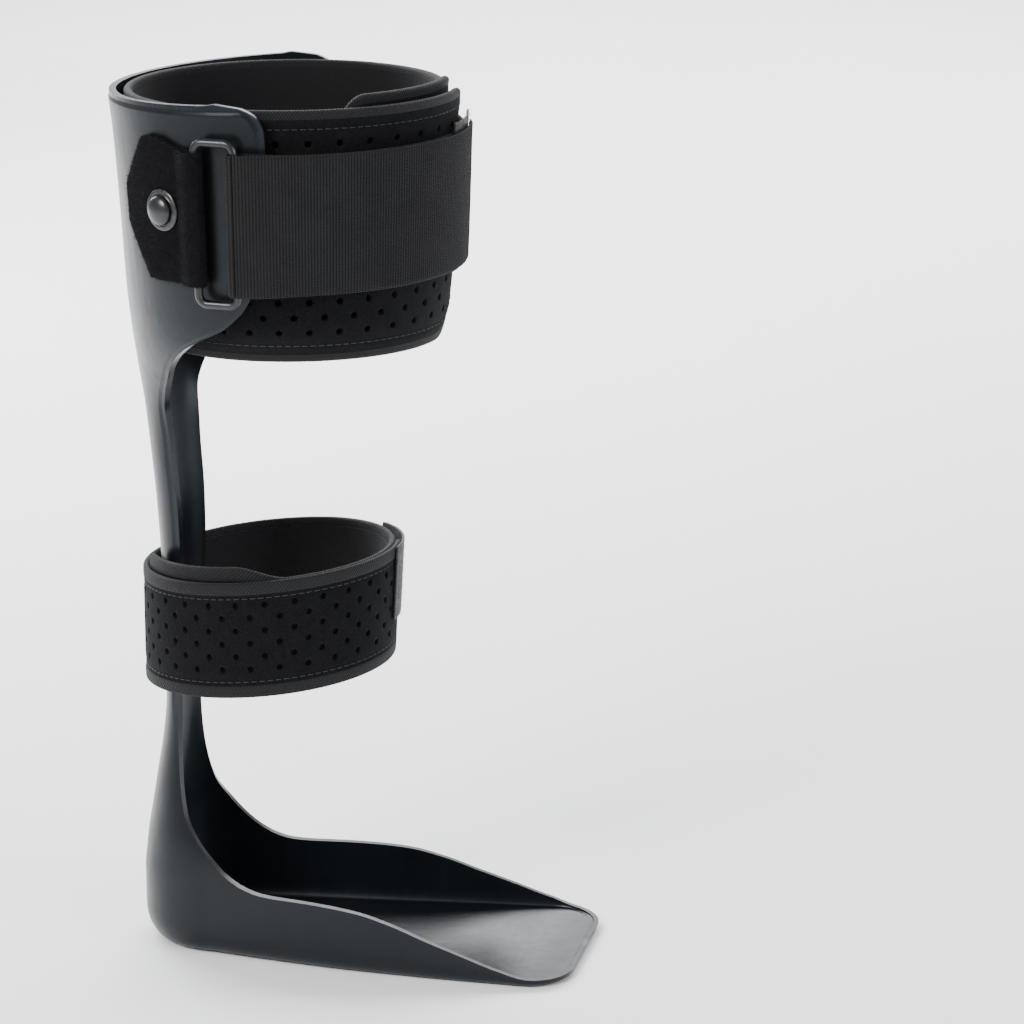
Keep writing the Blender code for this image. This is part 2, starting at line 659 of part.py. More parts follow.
def make_ankle_wrap(foam_look, lining_look, binding_look):
    """Narrow padded wrap round the strut and the ankle, overlapping on the lateral side."""
    def foam(b):
        return wrap_layer_depth(b) - WRAP_FOAM / 2

    def lining(b):
        return wrap_layer_depth(b) - WRAP_FOAM - GAP - WRAP_LINING / 2

    low, high = WRAP_LOW + WRAP_BINDING + GAP, WRAP_HIGH - WRAP_BINDING - GAP
    start = WRAP_HINGE - 2.1
    ribbon("ankle_pad", wrap_place, arc_line(start, WRAP_INNER_END + 3.4, foam), low, high,
           WRAP_FOAM, foam_look, 3)
    ribbon("ankle_pad_lining", wrap_place, arc_line(-42.0, -318.0, lining), low, high,
           WRAP_LINING, lining_look, 3)
    heights = tape_heights(WRAP_LOW, WRAP_HIGH, WRAP_BINDING, 2)
    line = arc_line(start, WRAP_INNER_END + 3.0, foam) + [(WRAP_INNER_END, foam(WRAP_INNER_END))]
    edge_tape("ankle_pad_binding", wrap_place, line, heights, WRAP_FOAM, binding_look,
              (False, True))


def make_ankle_flap(foam_look, binding_look, hook_look):
    """Free end of the wrap, which closes over the front, with its binding and hook tab."""
    low, high = WRAP_LOW + WRAP_BINDING + GAP, WRAP_HIGH - WRAP_BINDING - GAP
    middle = -WRAP_FOAM / 2
    end = WRAP_OUTER_END - 3.4
    ribbon("ankle_flap", wrap_place, arc_line(WRAP_HINGE, end, middle), low, high, WRAP_FOAM,
           foam_look, 3)
    heights = tape_heights(WRAP_LOW, WRAP_HIGH, WRAP_BINDING, 2)
    line = arc_line(WRAP_HINGE, end + 0.4, middle) + [(WRAP_OUTER_END, middle)]
    edge_tape("ankle_flap_binding", wrap_place, line, heights, WRAP_FOAM, binding_look,
              (False, True))
    ribbon("ankle_hook_tab", wrap_place, arc_line(172.0, 222.0, GAP + 0.45), 120.0, WRAP_HIGH,
           0.9, hook_look, 2)


def make_strut_hook_patch(look):
    """Hook patch on the rear of the strut, which grips the ankle wrap."""
    outer, inner = [], []
    heights = [112.0, 123.0, 134.0]
    count = 8
    for height in heights:
        rear, _, centre, half = level(height)
        for i in range(count + 1):
            turn = radians(blend(-18.0, 42.0, i / count))
            for sheet, off in ((outer, 1.1), (inner, 0.35)):
                sheet.append((centre - (centre - rear + off) * cos(turn),
                              (half + off) * sin(turn), height))
    return solid_from_sheet("strut_hook_patch", outer, inner, grid_faces(3, count + 1), look)


def main():
    for old in list(bpy.data.objects):
        bpy.data.objects.remove(old)
    plastic = ((0.012, 0.014, 0.017), 0.32)
    gloss = ((0.010, 0.010, 0.011), 0.18)
    foam = ((0.014, 0.014, 0.016), 0.95)
    lining = ((0.020, 0.020, 0.023), 0.9)
    tape = ((0.028, 0.028, 0.031), 0.8)
    elastic = ((0.022, 0.022, 0.024), 0.85)
    hook = ((0.012, 0.012, 0.013), 0.7)
    painted = ((0.02, 0.02, 0.022), 0.35, 0.6)
    make_calf_shell(plastic)
    make_foot_shell(plastic)
    make_calf_pad(foam, lining, tape)
    make_pad_hook_strips(hook)
    make_ring_tab(foam)
    make_strap_ring(gloss)
    make_calf_strap(elastic)
    make_strap_tail(elastic, hook)
    make_rivet(LATERAL, 2 * TAB_THICK + 2 * GAP + 0.1, painted, painted)
    make_rivet(MEDIAL, STRAP_SEAT + STRAP_THICK, painted, painted)
    drill_rivet_hole(LATERAL, ("calf_shell", "ring_tab"))
    drill_rivet_hole(MEDIAL, ("calf_shell", "calf_strap"))
    make_ankle_wrap(foam, lining, tape)
    make_ankle_flap(foam, tape, hook)
    make_strut_hook_patch(hook)


main()
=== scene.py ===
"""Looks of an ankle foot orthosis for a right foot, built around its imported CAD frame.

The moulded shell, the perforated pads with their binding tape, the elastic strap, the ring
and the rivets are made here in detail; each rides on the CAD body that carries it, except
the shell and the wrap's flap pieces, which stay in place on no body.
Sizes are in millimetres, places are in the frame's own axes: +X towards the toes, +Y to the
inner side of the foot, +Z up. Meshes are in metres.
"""
from __future__ import annotations

import logging
from dataclasses import dataclass
from enum import Enum
from math import acos, ceil, cos, hypot, pi, radians, sin
from typing import Callable, Iterable, Sequence

import bmesh
import bpy
import numpy as np
from mathutils import Matrix, Vector


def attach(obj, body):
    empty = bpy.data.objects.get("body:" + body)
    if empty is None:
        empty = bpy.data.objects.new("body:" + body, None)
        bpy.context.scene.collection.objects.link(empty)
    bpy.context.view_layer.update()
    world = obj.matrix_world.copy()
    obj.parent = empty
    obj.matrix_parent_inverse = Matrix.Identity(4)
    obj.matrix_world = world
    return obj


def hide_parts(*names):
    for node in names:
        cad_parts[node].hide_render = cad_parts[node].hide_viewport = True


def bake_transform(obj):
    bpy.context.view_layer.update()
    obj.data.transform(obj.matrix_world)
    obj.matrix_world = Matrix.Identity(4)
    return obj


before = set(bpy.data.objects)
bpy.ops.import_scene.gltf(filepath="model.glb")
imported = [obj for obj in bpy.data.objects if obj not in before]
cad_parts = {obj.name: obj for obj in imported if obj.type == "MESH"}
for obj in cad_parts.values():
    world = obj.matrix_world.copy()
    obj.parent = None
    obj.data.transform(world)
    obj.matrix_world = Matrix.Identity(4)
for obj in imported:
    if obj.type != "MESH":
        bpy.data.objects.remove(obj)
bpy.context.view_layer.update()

MM = 0.001
SEED = 7
LOG = logging.getLogger("orthosis")

Point = tuple[float, float, float]
Place = Callable[[float, float, float], Point]
Line = list[tuple[float, float]]


class Side(Enum):
    """Side of the foot, as the sign of its Y."""

    LATERAL = -1
    MEDIAL = 1


class Body(Enum):
    """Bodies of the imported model."""

    FOOT = "foot_section"
    CALF = "calf_section"
    TAIL = "strap_tail"
    FLAP = "wrap_flap"


class Slot(Enum):
    """Material slots of the record."""

    SHELL = "moulded_shell"
    RING = "ring_plastic"
    FOAM = "loop_foam"
    LINING = "soft_lining"
    TAPE = "binding_tape"
    ELASTIC = "elastic"
    HOOK = "hook_fabric"
    RIVET = "painted_rivet"


# ------------------------------------------------------------------ small mathematics

def blend(start: float, end: float, fraction: float) -> float:
    """Value a fraction of the way from start to end."""
    return start + (end - start) * fraction


def clamp(value: float, low: float = 0.0, high: float = 1.0) -> float:
    """Value held between low and high."""
    return min(max(value, low), high)


def ease(value: float) -> float:
    """Smooth step from 0 to 1 while the value goes from 0 to 1."""
    held = clamp(value)
    return held * held * (3 - 2 * held)


def smooth_value(table: Sequence[tuple[float, float]], at: float) -> float:
    """Monotone cubic through a table of (position, value) rows, clamped at its ends.

    Args:
        table: rows in rising order of position.
        at: position that is asked for.

    Returns:
        The value there.
    """
    xs = np.array([row[0] for row in table], float)
    ys = np.array([row[1] for row in table], float)
    at = clamp(at, xs[0], xs[-1])
    slope = np.diff(ys) / np.diff(xs)
    tangent = np.zeros(len(xs))
    tangent[0], tangent[-1] = slope[0], slope[-1]
    for i in range(1, len(xs) - 1):
        if slope[i - 1] * slope[i] > 0:
            tangent[i] = 2 * slope[i - 1] * slope[i] / (slope[i - 1] + slope[i])
    i = min(int(np.searchsorted(xs, at, side="right")) - 1, len(xs) - 2)
    width = xs[i + 1] - xs[i]
    u = (at - xs[i]) / width
    return float((1 + 2 * u) * (1 - u) ** 2 * ys[i] + u * (1 - u) ** 2 * width * tangent[i]
                 + u * u * (3 - 2 * u) * ys[i + 1] + u * u * (u - 1) * width * tangent[i + 1])


# ---------------------------------------------------------------------- shader maths

class Value:
    """A number inside a shader tree; arithmetic on it adds Math nodes."""

    def __init__(self, tree: bpy.types.NodeTree, socket: bpy.types.NodeSocket) -> None:
        """Wrap an output socket of the tree."""
        self.tree = tree
        self.socket = socket

    def maths(self, operation: str, first: Value | float, second: Value | float = 0.0) -> Value:
        """Add one Math node.

        Args:
            operation: the node's operation.
            first: first number or value.
            second: second number or value.

        Returns:
            The node's result.
        """
        node = self.tree.nodes.new("ShaderNodeMath")
        node.operation = operation
        for socket, given in zip(node.inputs, (first, second)):
            if isinstance(given, Value):
                self.tree.links.new(given.socket, socket)
            else:
                socket.default_value = given
        return Value(self.tree, node.outputs[0])

    def __add__(self, other: Value | float) -> Value:
        """Sum."""
        return self.maths("ADD", self, other)

    def __radd__(self, other: float) -> Value:
        """Sum with a number on the left."""
        return self.maths("ADD", other, self)

    def __sub__(self, other: Value | float) -> Value:
        """Difference."""
        return self.maths("SUBTRACT", self, other)

    def __rsub__(self, other: float) -> Value:
        """Difference from a number on the left."""
        return self.maths("SUBTRACT", other, self)

    def __mul__(self, other: Value | float) -> Value:
        """Product."""
        return self.maths("MULTIPLY", self, other)

    def __rmul__(self, other: float) -> Value:
        """Product with a number on the left."""
        return self.maths("MULTIPLY", other, self)

    def wave(self) -> Value:
        """Sine of the value, moved to the range 0 to 1."""
        return self.maths("SINE", self) * 0.5 + 0.5

    def power(self, exponent: float) -> Value:
        """The value raised to a power."""
        return self.maths("POWER", self, exponent)

    def held(self) -> Value:
        """The value held between 0 and 1."""
        return self.maths("MINIMUM", self.maths("MAXIMUM", self, 0.0), 1.0)


class Shader:
    """A material under construction, with one Principled BSDF."""

    def __init__(self, name: str) -> None:
        """Start a material with the given name."""
        self.material = bpy.data.materials.new(name)
        self.material.use_nodes = True
        self.tree = self.material.node_tree
        self.surface = self.tree.nodes["Principled BSDF"]

    def node(self, kind: str, settings: dict[str, object] | None = None,
             **sockets: object) -> bpy.types.Node:
        """Add a node.

        Args:
            kind: the node's type.
            settings: properties that are set before the sockets.
            sockets: values or links by socket name, spaces written as underscores.

        Returns:
            The new node.
        """
        made = self.tree.nodes.new(kind)
        for key, setting in (settings or {}).items():
            setattr(made, key, setting)
        for key, given in sockets.items():
            socket = made.inputs[key.replace("_", " ")]
            if isinstance(given, Value):
                self.tree.links.new(given.socket, socket)
            elif isinstance(given, bpy.types.NodeSocket):
                self.tree.links.new(given, socket)
            else:
                socket.default_value = given
        return made

    def place(self) -> bpy.types.NodeSocket:
        """Object coordinates, in metres."""
        return self.node("ShaderNodeTexCoord").outputs["Object"]

    def attribute(self, name: str) -> Value:
        """A number stored on the mesh."""
        return Value(self.tree, self.node("ShaderNodeAttribute",
                                          {"attribute_name": name}).outputs["Fac"])

    def noise(self, size_mm: float, detail: float = 3.0, stretch: Point = (1, 1, 1)) -> Value:
        """Noise on object coordinates.

        Args:
            size_mm: size of one blotch.
            detail: octaves of finer noise.
            stretch: scale of each axis, larger is finer.

        Returns:
            The noise, from about 0 to 1.
        """
        spread = self.node("ShaderNodeMapping", Vector=self.place(), Scale=stretch)
        made = self.node("ShaderNodeTexNoise", Vector=spread.outputs[0],
                         Scale=1.0 / (size_mm * MM), Detail=detail)
        return Value(self.tree, made.outputs[0])

    def uv(self) -> tuple[Value, Value]:
        """The piece's own UV map, as lengths in centimetres along and across it."""
        split = self.node("ShaderNodeSeparateXYZ", Vector=self.node(
            "ShaderNodeUVMap", {"uv_map": "cloth"}).outputs[0])
        return Value(self.tree, split.outputs[0]), Value(self.tree, split.outputs[1])

    def colour(self, mask: Value, low: Point, high: Point) -> bpy.types.NodeSocket:
        """Colour that goes from low to high with a mask."""
        made = self.node("ShaderNodeMix", {"data_type": "RGBA"})
        self.tree.links.new(mask.socket, made.inputs["Factor"])
        made.inputs[6].default_value = (*low, 1.0)
        made.inputs[7].default_value = (*high, 1.0)
        return made.outputs[2]

    def finish(self, colour: bpy.types.NodeSocket, roughness: Value, height: Value,
               depth_mm: float, **constants: object) -> bpy.types.Material:
        """Join the maps to the surface.

        Args:
            colour: base colour.
            roughness: roughness map.
            height: relief, from about 0 to 1.
            depth_mm: depth of the relief.
            constants: fixed values of the surface's other sockets.

        Returns:
            The finished material.
        """
        bump = self.node("ShaderNodeBump", Height=height, Distance=depth_mm * MM, Strength=1.0)
        self.tree.links.new(colour, self.surface.inputs["Base Color"])
        self.tree.links.new(roughness.held().socket, self.surface.inputs["Roughness"])
        self.tree.links.new(bump.outputs[0], self.surface.inputs["Normal"])
        for key, constant in constants.items():
            self.surface.inputs[key.replace("_", " ")].default_value = constant
        return self.material


# -------------------------------------------------------------------------- finishes

@dataclass(frozen=True)
class MouldedPlastic:
    """Satin black polypropylene, polished by its mould, with a painted highlight along its trim
    edges.
    """

    base: Point = (0.0026, 0.0032, 0.0042)
    # lighter colour for the random mottle and for the painted highlight along the trim edge and
    # step line
    mottle_and_edge_highlight: Point = (0.0075, 0.0092, 0.0115)
    roughness: float = 0.26

    def material(self) -> bpy.types.Material:
        """Build the material."""
        shader = Shader("moulded_plastic")
        cloud = shader.noise(24.0, 4.0)
        scuffs = shader.noise(3.0, 5.0, (1.0, 1.0, 0.16))
        # rim marks the band along the trim edge and step line; the colour is lightened there as a
        # painted highlight
        rim = shader.attribute("rim")
        colour = shader.colour((cloud * 0.55 + rim * 0.6).held(), self.base, self.mottle_and_edge_highlight)
        roughness = self.roughness + cloud * 0.08 + scuffs.power(3.0) * 0.22 - rim * 0.06
        relief = shader.noise(9.0, 2.0) * 0.8 + shader.noise(0.9, 2.0) * 0.05
        return shader.finish(colour, roughness, relief, 0.16, Specular_IOR_Level=0.27,
                             Specular_Tint=(0.86, 0.93, 1.0, 1.0))


@dataclass(frozen=True)
class GlossPlastic:
    """Glossy black plastic of the strap ring, with faint rub marks."""

    base: Point = (0.0025, 0.0025, 0.003)
    rubbed: Point = (0.010, 0.0104, 0.0115)

    def material(self) -> bpy.types.Material:
        """Build the material."""
        shader = Shader("gloss_plastic")
        rub = shader.noise(2.2, 4.0, (1.0, 1.0, 0.3)).power(3.0)
        return shader.finish(shader.colour(rub, self.base, self.rubbed), 0.3 + rub * 0.4,
                             shader.noise(0.7, 3.0), 0.02, Coat_Weight=0.1,
                             Coat_Roughness=0.2)


@dataclass(frozen=True)
class LoopFoam:
    """Brushed loop fabric on foam: short matted fibres over a soft surface."""

    deep: Point = (0.0012, 0.0012, 0.0015)
    tips: Point = (0.0085, 0.0085, 0.0095)
    fibre_mm: float = 0.55

    def material(self) -> bpy.types.Material:
        """Build the material."""
        shader = Shader("loop_foam")
        matted = shader.noise(5.5, 3.0)
        fibres = shader.noise(self.fibre_mm, 5.0, (1.0, 1.0, 0.55))
        strands = shader.noise(self.fibre_mm * 0.5, 4.0, (0.5, 0.5, 1.6))
        fuzz = fibres * 0.6 + strands * 0.4
        mask = ((fuzz - 0.36) * 2.1 + (matted - 0.5) * 0.5).held()
        return shader.finish(shader.colour(mask, self.deep, self.tips), 0.88 + fuzz * 0.1,
                             fuzz + matted * 0.5, 0.34, Specular_IOR_Level=0.1,
                             Sheen_Weight=0.05, Sheen_Roughness=0.5,
                             Sheen_Tint=(0.6, 0.62, 0.68, 1.0))


@dataclass(frozen=True)
class KnitLining:
    """Smooth black knit on the wearer's side."""

    deep: Point = (0.002, 0.002, 0.0024)
    raised: Point = (0.009, 0.009, 0.0105)
    wales_per_cm: float = 16.0

    def material(self) -> bpy.types.Material:
        """Build the material."""
        shader = Shader("knit_lining")
        along, across = shader.uv()
        turns = 2 * pi * self.wales_per_cm
        loops = (along * turns).wave() * 0.6 + (across * turns).wave() * 0.4
        blotch = shader.noise(7.0, 3.0)
        return shader.finish(shader.colour((loops * 0.7 + blotch * 0.3).held(), self.deep,
                                           self.raised), 0.8 + blotch * 0.1, loops, 0.12,
                             Specular_IOR_Level=0.2, Sheen_Weight=0.05, Sheen_Roughness=0.4)


@dataclass(frozen=True)
class TwillTape:
    """Dark grey binding tape with slanting ribs."""

    deep: Point = (0.0018, 0.0018, 0.0022)
    raised: Point = (0.019, 0.0195, 0.022)
    ribs_per_cm: float = 8.5

    def material(self) -> bpy.types.Material:
        """Build the material."""
        shader = Shader("twill_tape")
        along, across = shader.uv()
        wander = shader.noise(4.0, 2.0) * 0.5
        turns = 2 * pi * self.ribs_per_cm
        ribs = ((along + across * 0.8) * turns + wander).wave()
        threads = ((along - across * 2.4) * turns * 1.3).wave()
        weave = ribs * 0.75 + threads * 0.25
        fluff = shader.noise(0.6, 4.0)
        mask = (weave.power(1.4) * 0.9 + (fluff - 0.5) * 0.35).held()
        return shader.finish(shader.colour(mask, self.deep, self.raised), 0.66 + fluff * 0.22,
                             weave + fluff * 0.35, 0.28, Specular_IOR_Level=0.2,
                             Sheen_Weight=0.06, Sheen_Roughness=0.4)


@dataclass(frozen=True)
class RibbedElastic:
    """Charcoal woven elastic; the ribs are in the mesh, the picks between them are here."""

    deep: Point = (0.0022, 0.0022, 0.0024)
    raised: Point = (0.0195, 0.0195, 0.021)
    picks_per_cm: float = 13.0
    ribs_per_cm: float = 9.1

    def material(self) -> bpy.types.Material:
        """Build the material."""
        shader = Shader("ribbed_elastic")
        along, across = shader.uv()
        picks = (across * (2 * pi * self.picks_per_cm)).wave()
        ribs = (along * (2 * pi * self.ribs_per_cm)).wave()
        blotch = shader.noise(9.0, 4.0)
        fluff = shader.noise(0.5, 4.0)
        mask = (ribs * (0.45 + picks * 0.35) + (blotch - 0.5) * 0.4 + (fluff - 0.5) * 0.3).held()
        return shader.finish(shader.colour(mask, self.deep, self.raised), 0.74 + fluff * 0.2,
                             ribs * 0.4 + picks * 0.6 + fluff * 0.25, 0.16,
                             Specular_IOR_Level=0.15, Sheen_Weight=0.06,
                             Sheen_Roughness=0.45)


@dataclass(frozen=True)
class HookFabric:
    """Black hook fabric: a dense field of small stiff hooks."""

    deep: Point = (0.0015, 0.0015, 0.0018)
    hooks: Point = (0.010, 0.010, 0.011)

    def material(self) -> bpy.types.Material:
        """Build the material."""
        shader = Shader("hook_fabric")
        cells = shader.node("ShaderNodeTexVoronoi", Vector=shader.place(), Scale=1100.0)
        field = 1.0 - Value(shader.tree, cells.outputs["Distance"])
        wear = shader.noise(4.0, 3.0)
        return shader.finish(shader.colour((field.power(3.0) + wear * 0.3).held(), self.deep,
                                           self.hooks), 0.5 + wear * 0.25, field, 0.3)


@dataclass(frozen=True)
class PaintedRivet:
    """Black painted steel, rubbed back to grey metal where it is handled."""

    paint: Point = (0.0028, 0.003, 0.0034)
    bare: Point = (0.085, 0.095, 0.11)
    wear: float = 0.3

    def material(self) -> bpy.types.Material:
        """Build the material."""
        shader = Shader(f"painted_rivet_{round(self.wear * 100)}")
        grain = shader.noise(1.5, 5.0)
        rub = ((grain - 0.5) * 3.0 + self.wear).held()
        shader.tree.links.new(rub.socket, shader.surface.inputs["Metallic"])
        return shader.finish(shader.colour(rub, self.paint, self.bare), 0.2 + grain * 0.25,
                             grain, 0.03, Coat_Weight=0.25, Coat_Roughness=0.15)


@dataclass(frozen=True)
class SewingThread:
    """Black polyester thread with a slight shine."""

    deep: Point = (0.002, 0.002, 0.0024)
    lit: Point = (0.012, 0.012, 0.0135)

    def material(self) -> bpy.types.Material:
        """Build the material."""
        shader = Shader("sewing_thread")
        twist = shader.noise(0.4, 2.0)
        return shader.finish(shader.colour(twist, self.deep, self.lit), 0.5 + twist * 0.2,
                             twist, 0.05)


# ---------------------------------------------------------------------- mesh helpers

def close_sheet(outer: Sequence[Point], inner: Sequence[Point],
                faces: Sequence[Sequence[int]]) -> bmesh.types.BMesh:
    """Close the wall between two sheets that share one face list.

    Args:
        outer: points of the outer sheet, in millimetres.
        inner: points of the inner sheet, one for each outer point.
        faces: faces of the outer sheet, by index.

    Returns:
        A closed mesh in metres, its faces outwards.
    """
    count = len(outer)
    used = set()
    for face in faces:
        used.update(zip(face, list(face[1:]) + [face[0]]))
    bm = bmesh.new()
    points = [bm.verts.new(Vector(p) * MM) for p in list(outer) + list(inner)]
    for face in faces:
        bm.faces.new([points[i] for i in face])
        bm.faces.new([points[i + count] for i in reversed(face)])
    for a, b in used:
        if (b, a) not in used:
            bm.faces.new([points[b], points[a], points[a + count], points[b + count]])
    loose = [v for v in bm.verts if not v.link_faces]
    bmesh.ops.delete(bm, geom=loose, context="VERTS")
    bmesh.ops.recalc_face_normals(bm, faces=bm.faces)
    return bm


def grid_faces(rows: int, columns: int, first: int = 0, wrap: bool = False) -> list[list[int]]:
    """Quads of a block of points.

    Args:
        rows: number of rows.
        columns: number of points in a row.
        first: index of the block's first point.
        wrap: whether the last column joins the first.

    Returns:
        The quads, by index.
    """
    spans = columns if wrap else columns - 1
    return [[first + r * columns + c, first + r * columns + (c + 1) % columns,
             first + (r + 1) * columns + (c + 1) % columns, first + (r + 1) * columns + c]
            for r in range(rows - 1) for c in range(spans)]


def piece_from(bm: bmesh.types.BMesh, name: str, look: bpy.types.Material,
               sharp: float = 40.0) -> bpy.types.Object:
    """Turn a bmesh into a smooth-shaded object.

    Args:
        bm: the mesh, which is freed.
        name: the piece's name.
        look: its material.
        sharp: edges turning by more than this many degrees stay sharp.

    Returns:
        The new object, at the origin.
    """
    mesh = bpy.data.meshes.new(name)
    bm.to_mesh(mesh)
    bm.free()
    mesh.shade_smooth()
    mesh.set_sharp_from_angle(angle=radians(sharp))
    mesh.materials.append(look)
    made = bpy.data.objects.new(name, mesh)
    bpy.context.scene.collection.objects.link(made)
    return made


def settle(piece: bpy.types.Object) -> None:
    """Replace a piece's mesh by its evaluated one and remove its modifiers."""
    graph = bpy.context.evaluated_depsgraph_get()
    graph.update()
    mesh = bpy.data.meshes.new_from_object(piece.evaluated_get(graph),
                                           preserve_all_data_layers=True, depsgraph=graph)
    old = piece.data
    piece.modifiers.clear()
    piece.data = mesh
    mesh.name = piece.name
    bpy.data.meshes.remove(old)


def refine(piece: bpy.types.Object, levels: int) -> None:
    """Subdivide a piece smoothly and keep the result."""
    made = piece.modifiers.new("refine", "SUBSURF")
    made.levels = made.render_levels = levels
    settle(piece)


def round_edges(piece: bpy.types.Object, width_mm: float, segments: int = 3,
                angle: float = 50.0) -> None:
    """Round a piece's sharp edges and keep the result.

    Args:
        piece: the piece.
        width_mm: how far back from the edge the rounding starts.
        segments: faces across the rounding.
        angle: edges turning by more than this many degrees are rounded.
    """
    made = piece.modifiers.new("rounding", "BEVEL")
    made.width = width_mm * MM
    made.segments = segments
    made.limit_method = "ANGLE"
    made.angle_limit = radians(angle)
    made.use_clamp_overlap = True
    settle(piece)
    piece.data.shade_smooth()


def finish_piece(piece: bpy.types.Object, body: Body, slot: Slot, *nodes: str,
                 bend: tuple[Point, Point] | None = None) -> None:
    """Put a piece on its body, unless bend is given, and hide the CAD nodes that it stands for.

    Args:
        piece: the finished piece.
        body: the body that carries it.
        slot: its material slot; not used.
        nodes: CAD nodes that it replaces.
        bend: hinge points of cloth that crosses from the calf section; when given, the piece stays
            in place on no body and is not bent.
    """
    if bend:
        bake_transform(piece)
    else:
        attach(piece, body.value)
    if nodes:
        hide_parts(*nodes)
    LOG.info("%s: %d faces on %s", piece.name, len(piece.data.polygons), body.value)


# -------------------------------------------------------------------- geometry nodes

class NodeTool:
    """A Geometry Nodes tree with named inputs, run once on a piece."""

    def __init__(self, name: str) -> None:
        """Start a tree that takes and gives geometry."""
        self.tree = bpy.data.node_groups.new(name, "GeometryNodeTree")
        self.tree.interface.new_socket("Geometry", in_out="INPUT", socket_type="NodeSocketGeometry")
        self.tree.interface.new_socket("Geometry", in_out="OUTPUT",
                                       socket_type="NodeSocketGeometry")
        self.source = self.tree.nodes.new("NodeGroupInput")
        self.result = self.tree.nodes.new("NodeGroupOutput")

    def size(self, name: str, value: float) -> None:
        """Add a named number to the tree's inputs."""
        made = self.tree.interface.new_socket(name, in_out="INPUT", socket_type="NodeSocketFloat")
        made.default_value = value

    def node(self, kind: str, settings: dict[str, object] | None = None,
             **sockets: object) -> bpy.types.Node:
        """Add a node.

        Args:
            kind: the node's type.
            settings: properties that are set before the sockets.
            sockets: values, output sockets or the name of a tree input as "@name".

        Returns:
            The new node.
        """
        made = self.tree.nodes.new(kind)
        for key, setting in (settings or {}).items():
            setattr(made, key, setting)
        for key, given in sockets.items():
            socket = made.inputs[key.replace("_", " ")]
            if isinstance(given, str) and given.startswith("@"):
                self.tree.links.new(self.source.outputs[given[1:]], socket)
            elif isinstance(given, bpy.types.NodeSocket):
                self.tree.links.new(given, socket)
            else:
                socket.default_value = given
        return made

    def close(self, instances: bpy.types.NodeSocket, look: bpy.types.Material) -> None:
        """End the tree in real meshes with one material.

        Args:
            instances: geometry, instances among it.
            look: the material.
        """
        real = self.node("GeometryNodeRealizeInstances", Geometry=instances)
        dressed = self.node("GeometryNodeSetMaterial", Geometry=real.outputs[0], Material=look)
        smooth = self.node("GeometryNodeSetShadeSmooth", Geometry=dressed.outputs[0])
        self.tree.links.new(smooth.outputs[0], self.result.inputs[0])

    def run(self, piece: bpy.types.Object, sizes: dict[str, float]) -> None:
        """Run the tree on a piece and keep the plain mesh.

        Args:
            piece: a mesh or curve object.
            sizes: values of the tree's named inputs.
        """
        made = piece.modifiers.new(self.tree.name, "NODES")
        made.node_group = self.tree
        for item in self.tree.interface.items_tree:
            if item.in_out == "INPUT" and item.name in sizes:
                made[item.identifier] = sizes[item.name]
        settle(piece)


def perforation_tool(look: bpy.types.Material) -> NodeTool:
    """Tree that sinks a blind hole at every point marked "hole" on a closed mesh."""
    tool = NodeTool("perforate")
    tool.size("Radius", 0.0011)
    tool.size("Depth", 0.0022)
    marked = tool.node("GeometryNodeInputNamedAttribute", {"data_type": "FLOAT"}, Name="hole")
    chosen = tool.node("FunctionNodeCompare", {"data_type": "FLOAT", "operation": "GREATER_THAN"})
    tool.tree.links.new(marked.outputs[0], chosen.inputs[0])
    chosen.inputs[1].default_value = 0.98
    punch = tool.node("GeometryNodeMeshCylinder", Vertices=9, Radius="@Radius", Depth="@Depth")
    normal = tool.node("GeometryNodeInputNormal")
    turn = tool.node("FunctionNodeAlignRotationToVector", {"axis": "Z"},
                     Vector=normal.outputs[0])
    placed = tool.node("GeometryNodeInstanceOnPoints", Points="@Geometry",
                       Selection=chosen.outputs[0], Instance=punch.outputs[0],
                       Rotation=turn.outputs[0])
    real = tool.node("GeometryNodeRealizeInstances", Geometry=placed.outputs[0])
    cut = tool.node("GeometryNodeMeshBoolean", {"operation": "DIFFERENCE", "solver": "MANIFOLD"})
    tool.tree.links.new(tool.source.outputs[0], cut.inputs["Mesh 1"])
    tool.tree.links.new(real.outputs[0], cut.inputs["Mesh 2"])
    tool.close(cut.outputs[0], look)
    return tool


def stitch_tool(look: bpy.types.Material) -> NodeTool:
    """Tree that lays short rounded stitches along a curve."""
    tool = NodeTool("stitch")
    tool.size("Pitch", 0.003)
    tool.size("Length", 0.0022)
    tool.size("Thickness", 0.00021)
    points = tool.node("GeometryNodeCurveToPoints", {"mode": "LENGTH"}, Curve="@Geometry",
                       Length="@Pitch")
    rod = tool.node("GeometryNodeMeshCylinder", Vertices=6, Side_Segments=1,
                    Radius="@Thickness", Depth="@Length")
    along = tool.node("FunctionNodeAlignRotationToVector", {"axis": "Z"},
                      Vector=points.outputs["Tangent"])
    placed = tool.node("GeometryNodeInstanceOnPoints", Points=points.outputs["Points"],
                       Instance=rod.outputs[0], Rotation=along.outputs[0])
    tool.close(placed.outputs[0], look)
    return tool


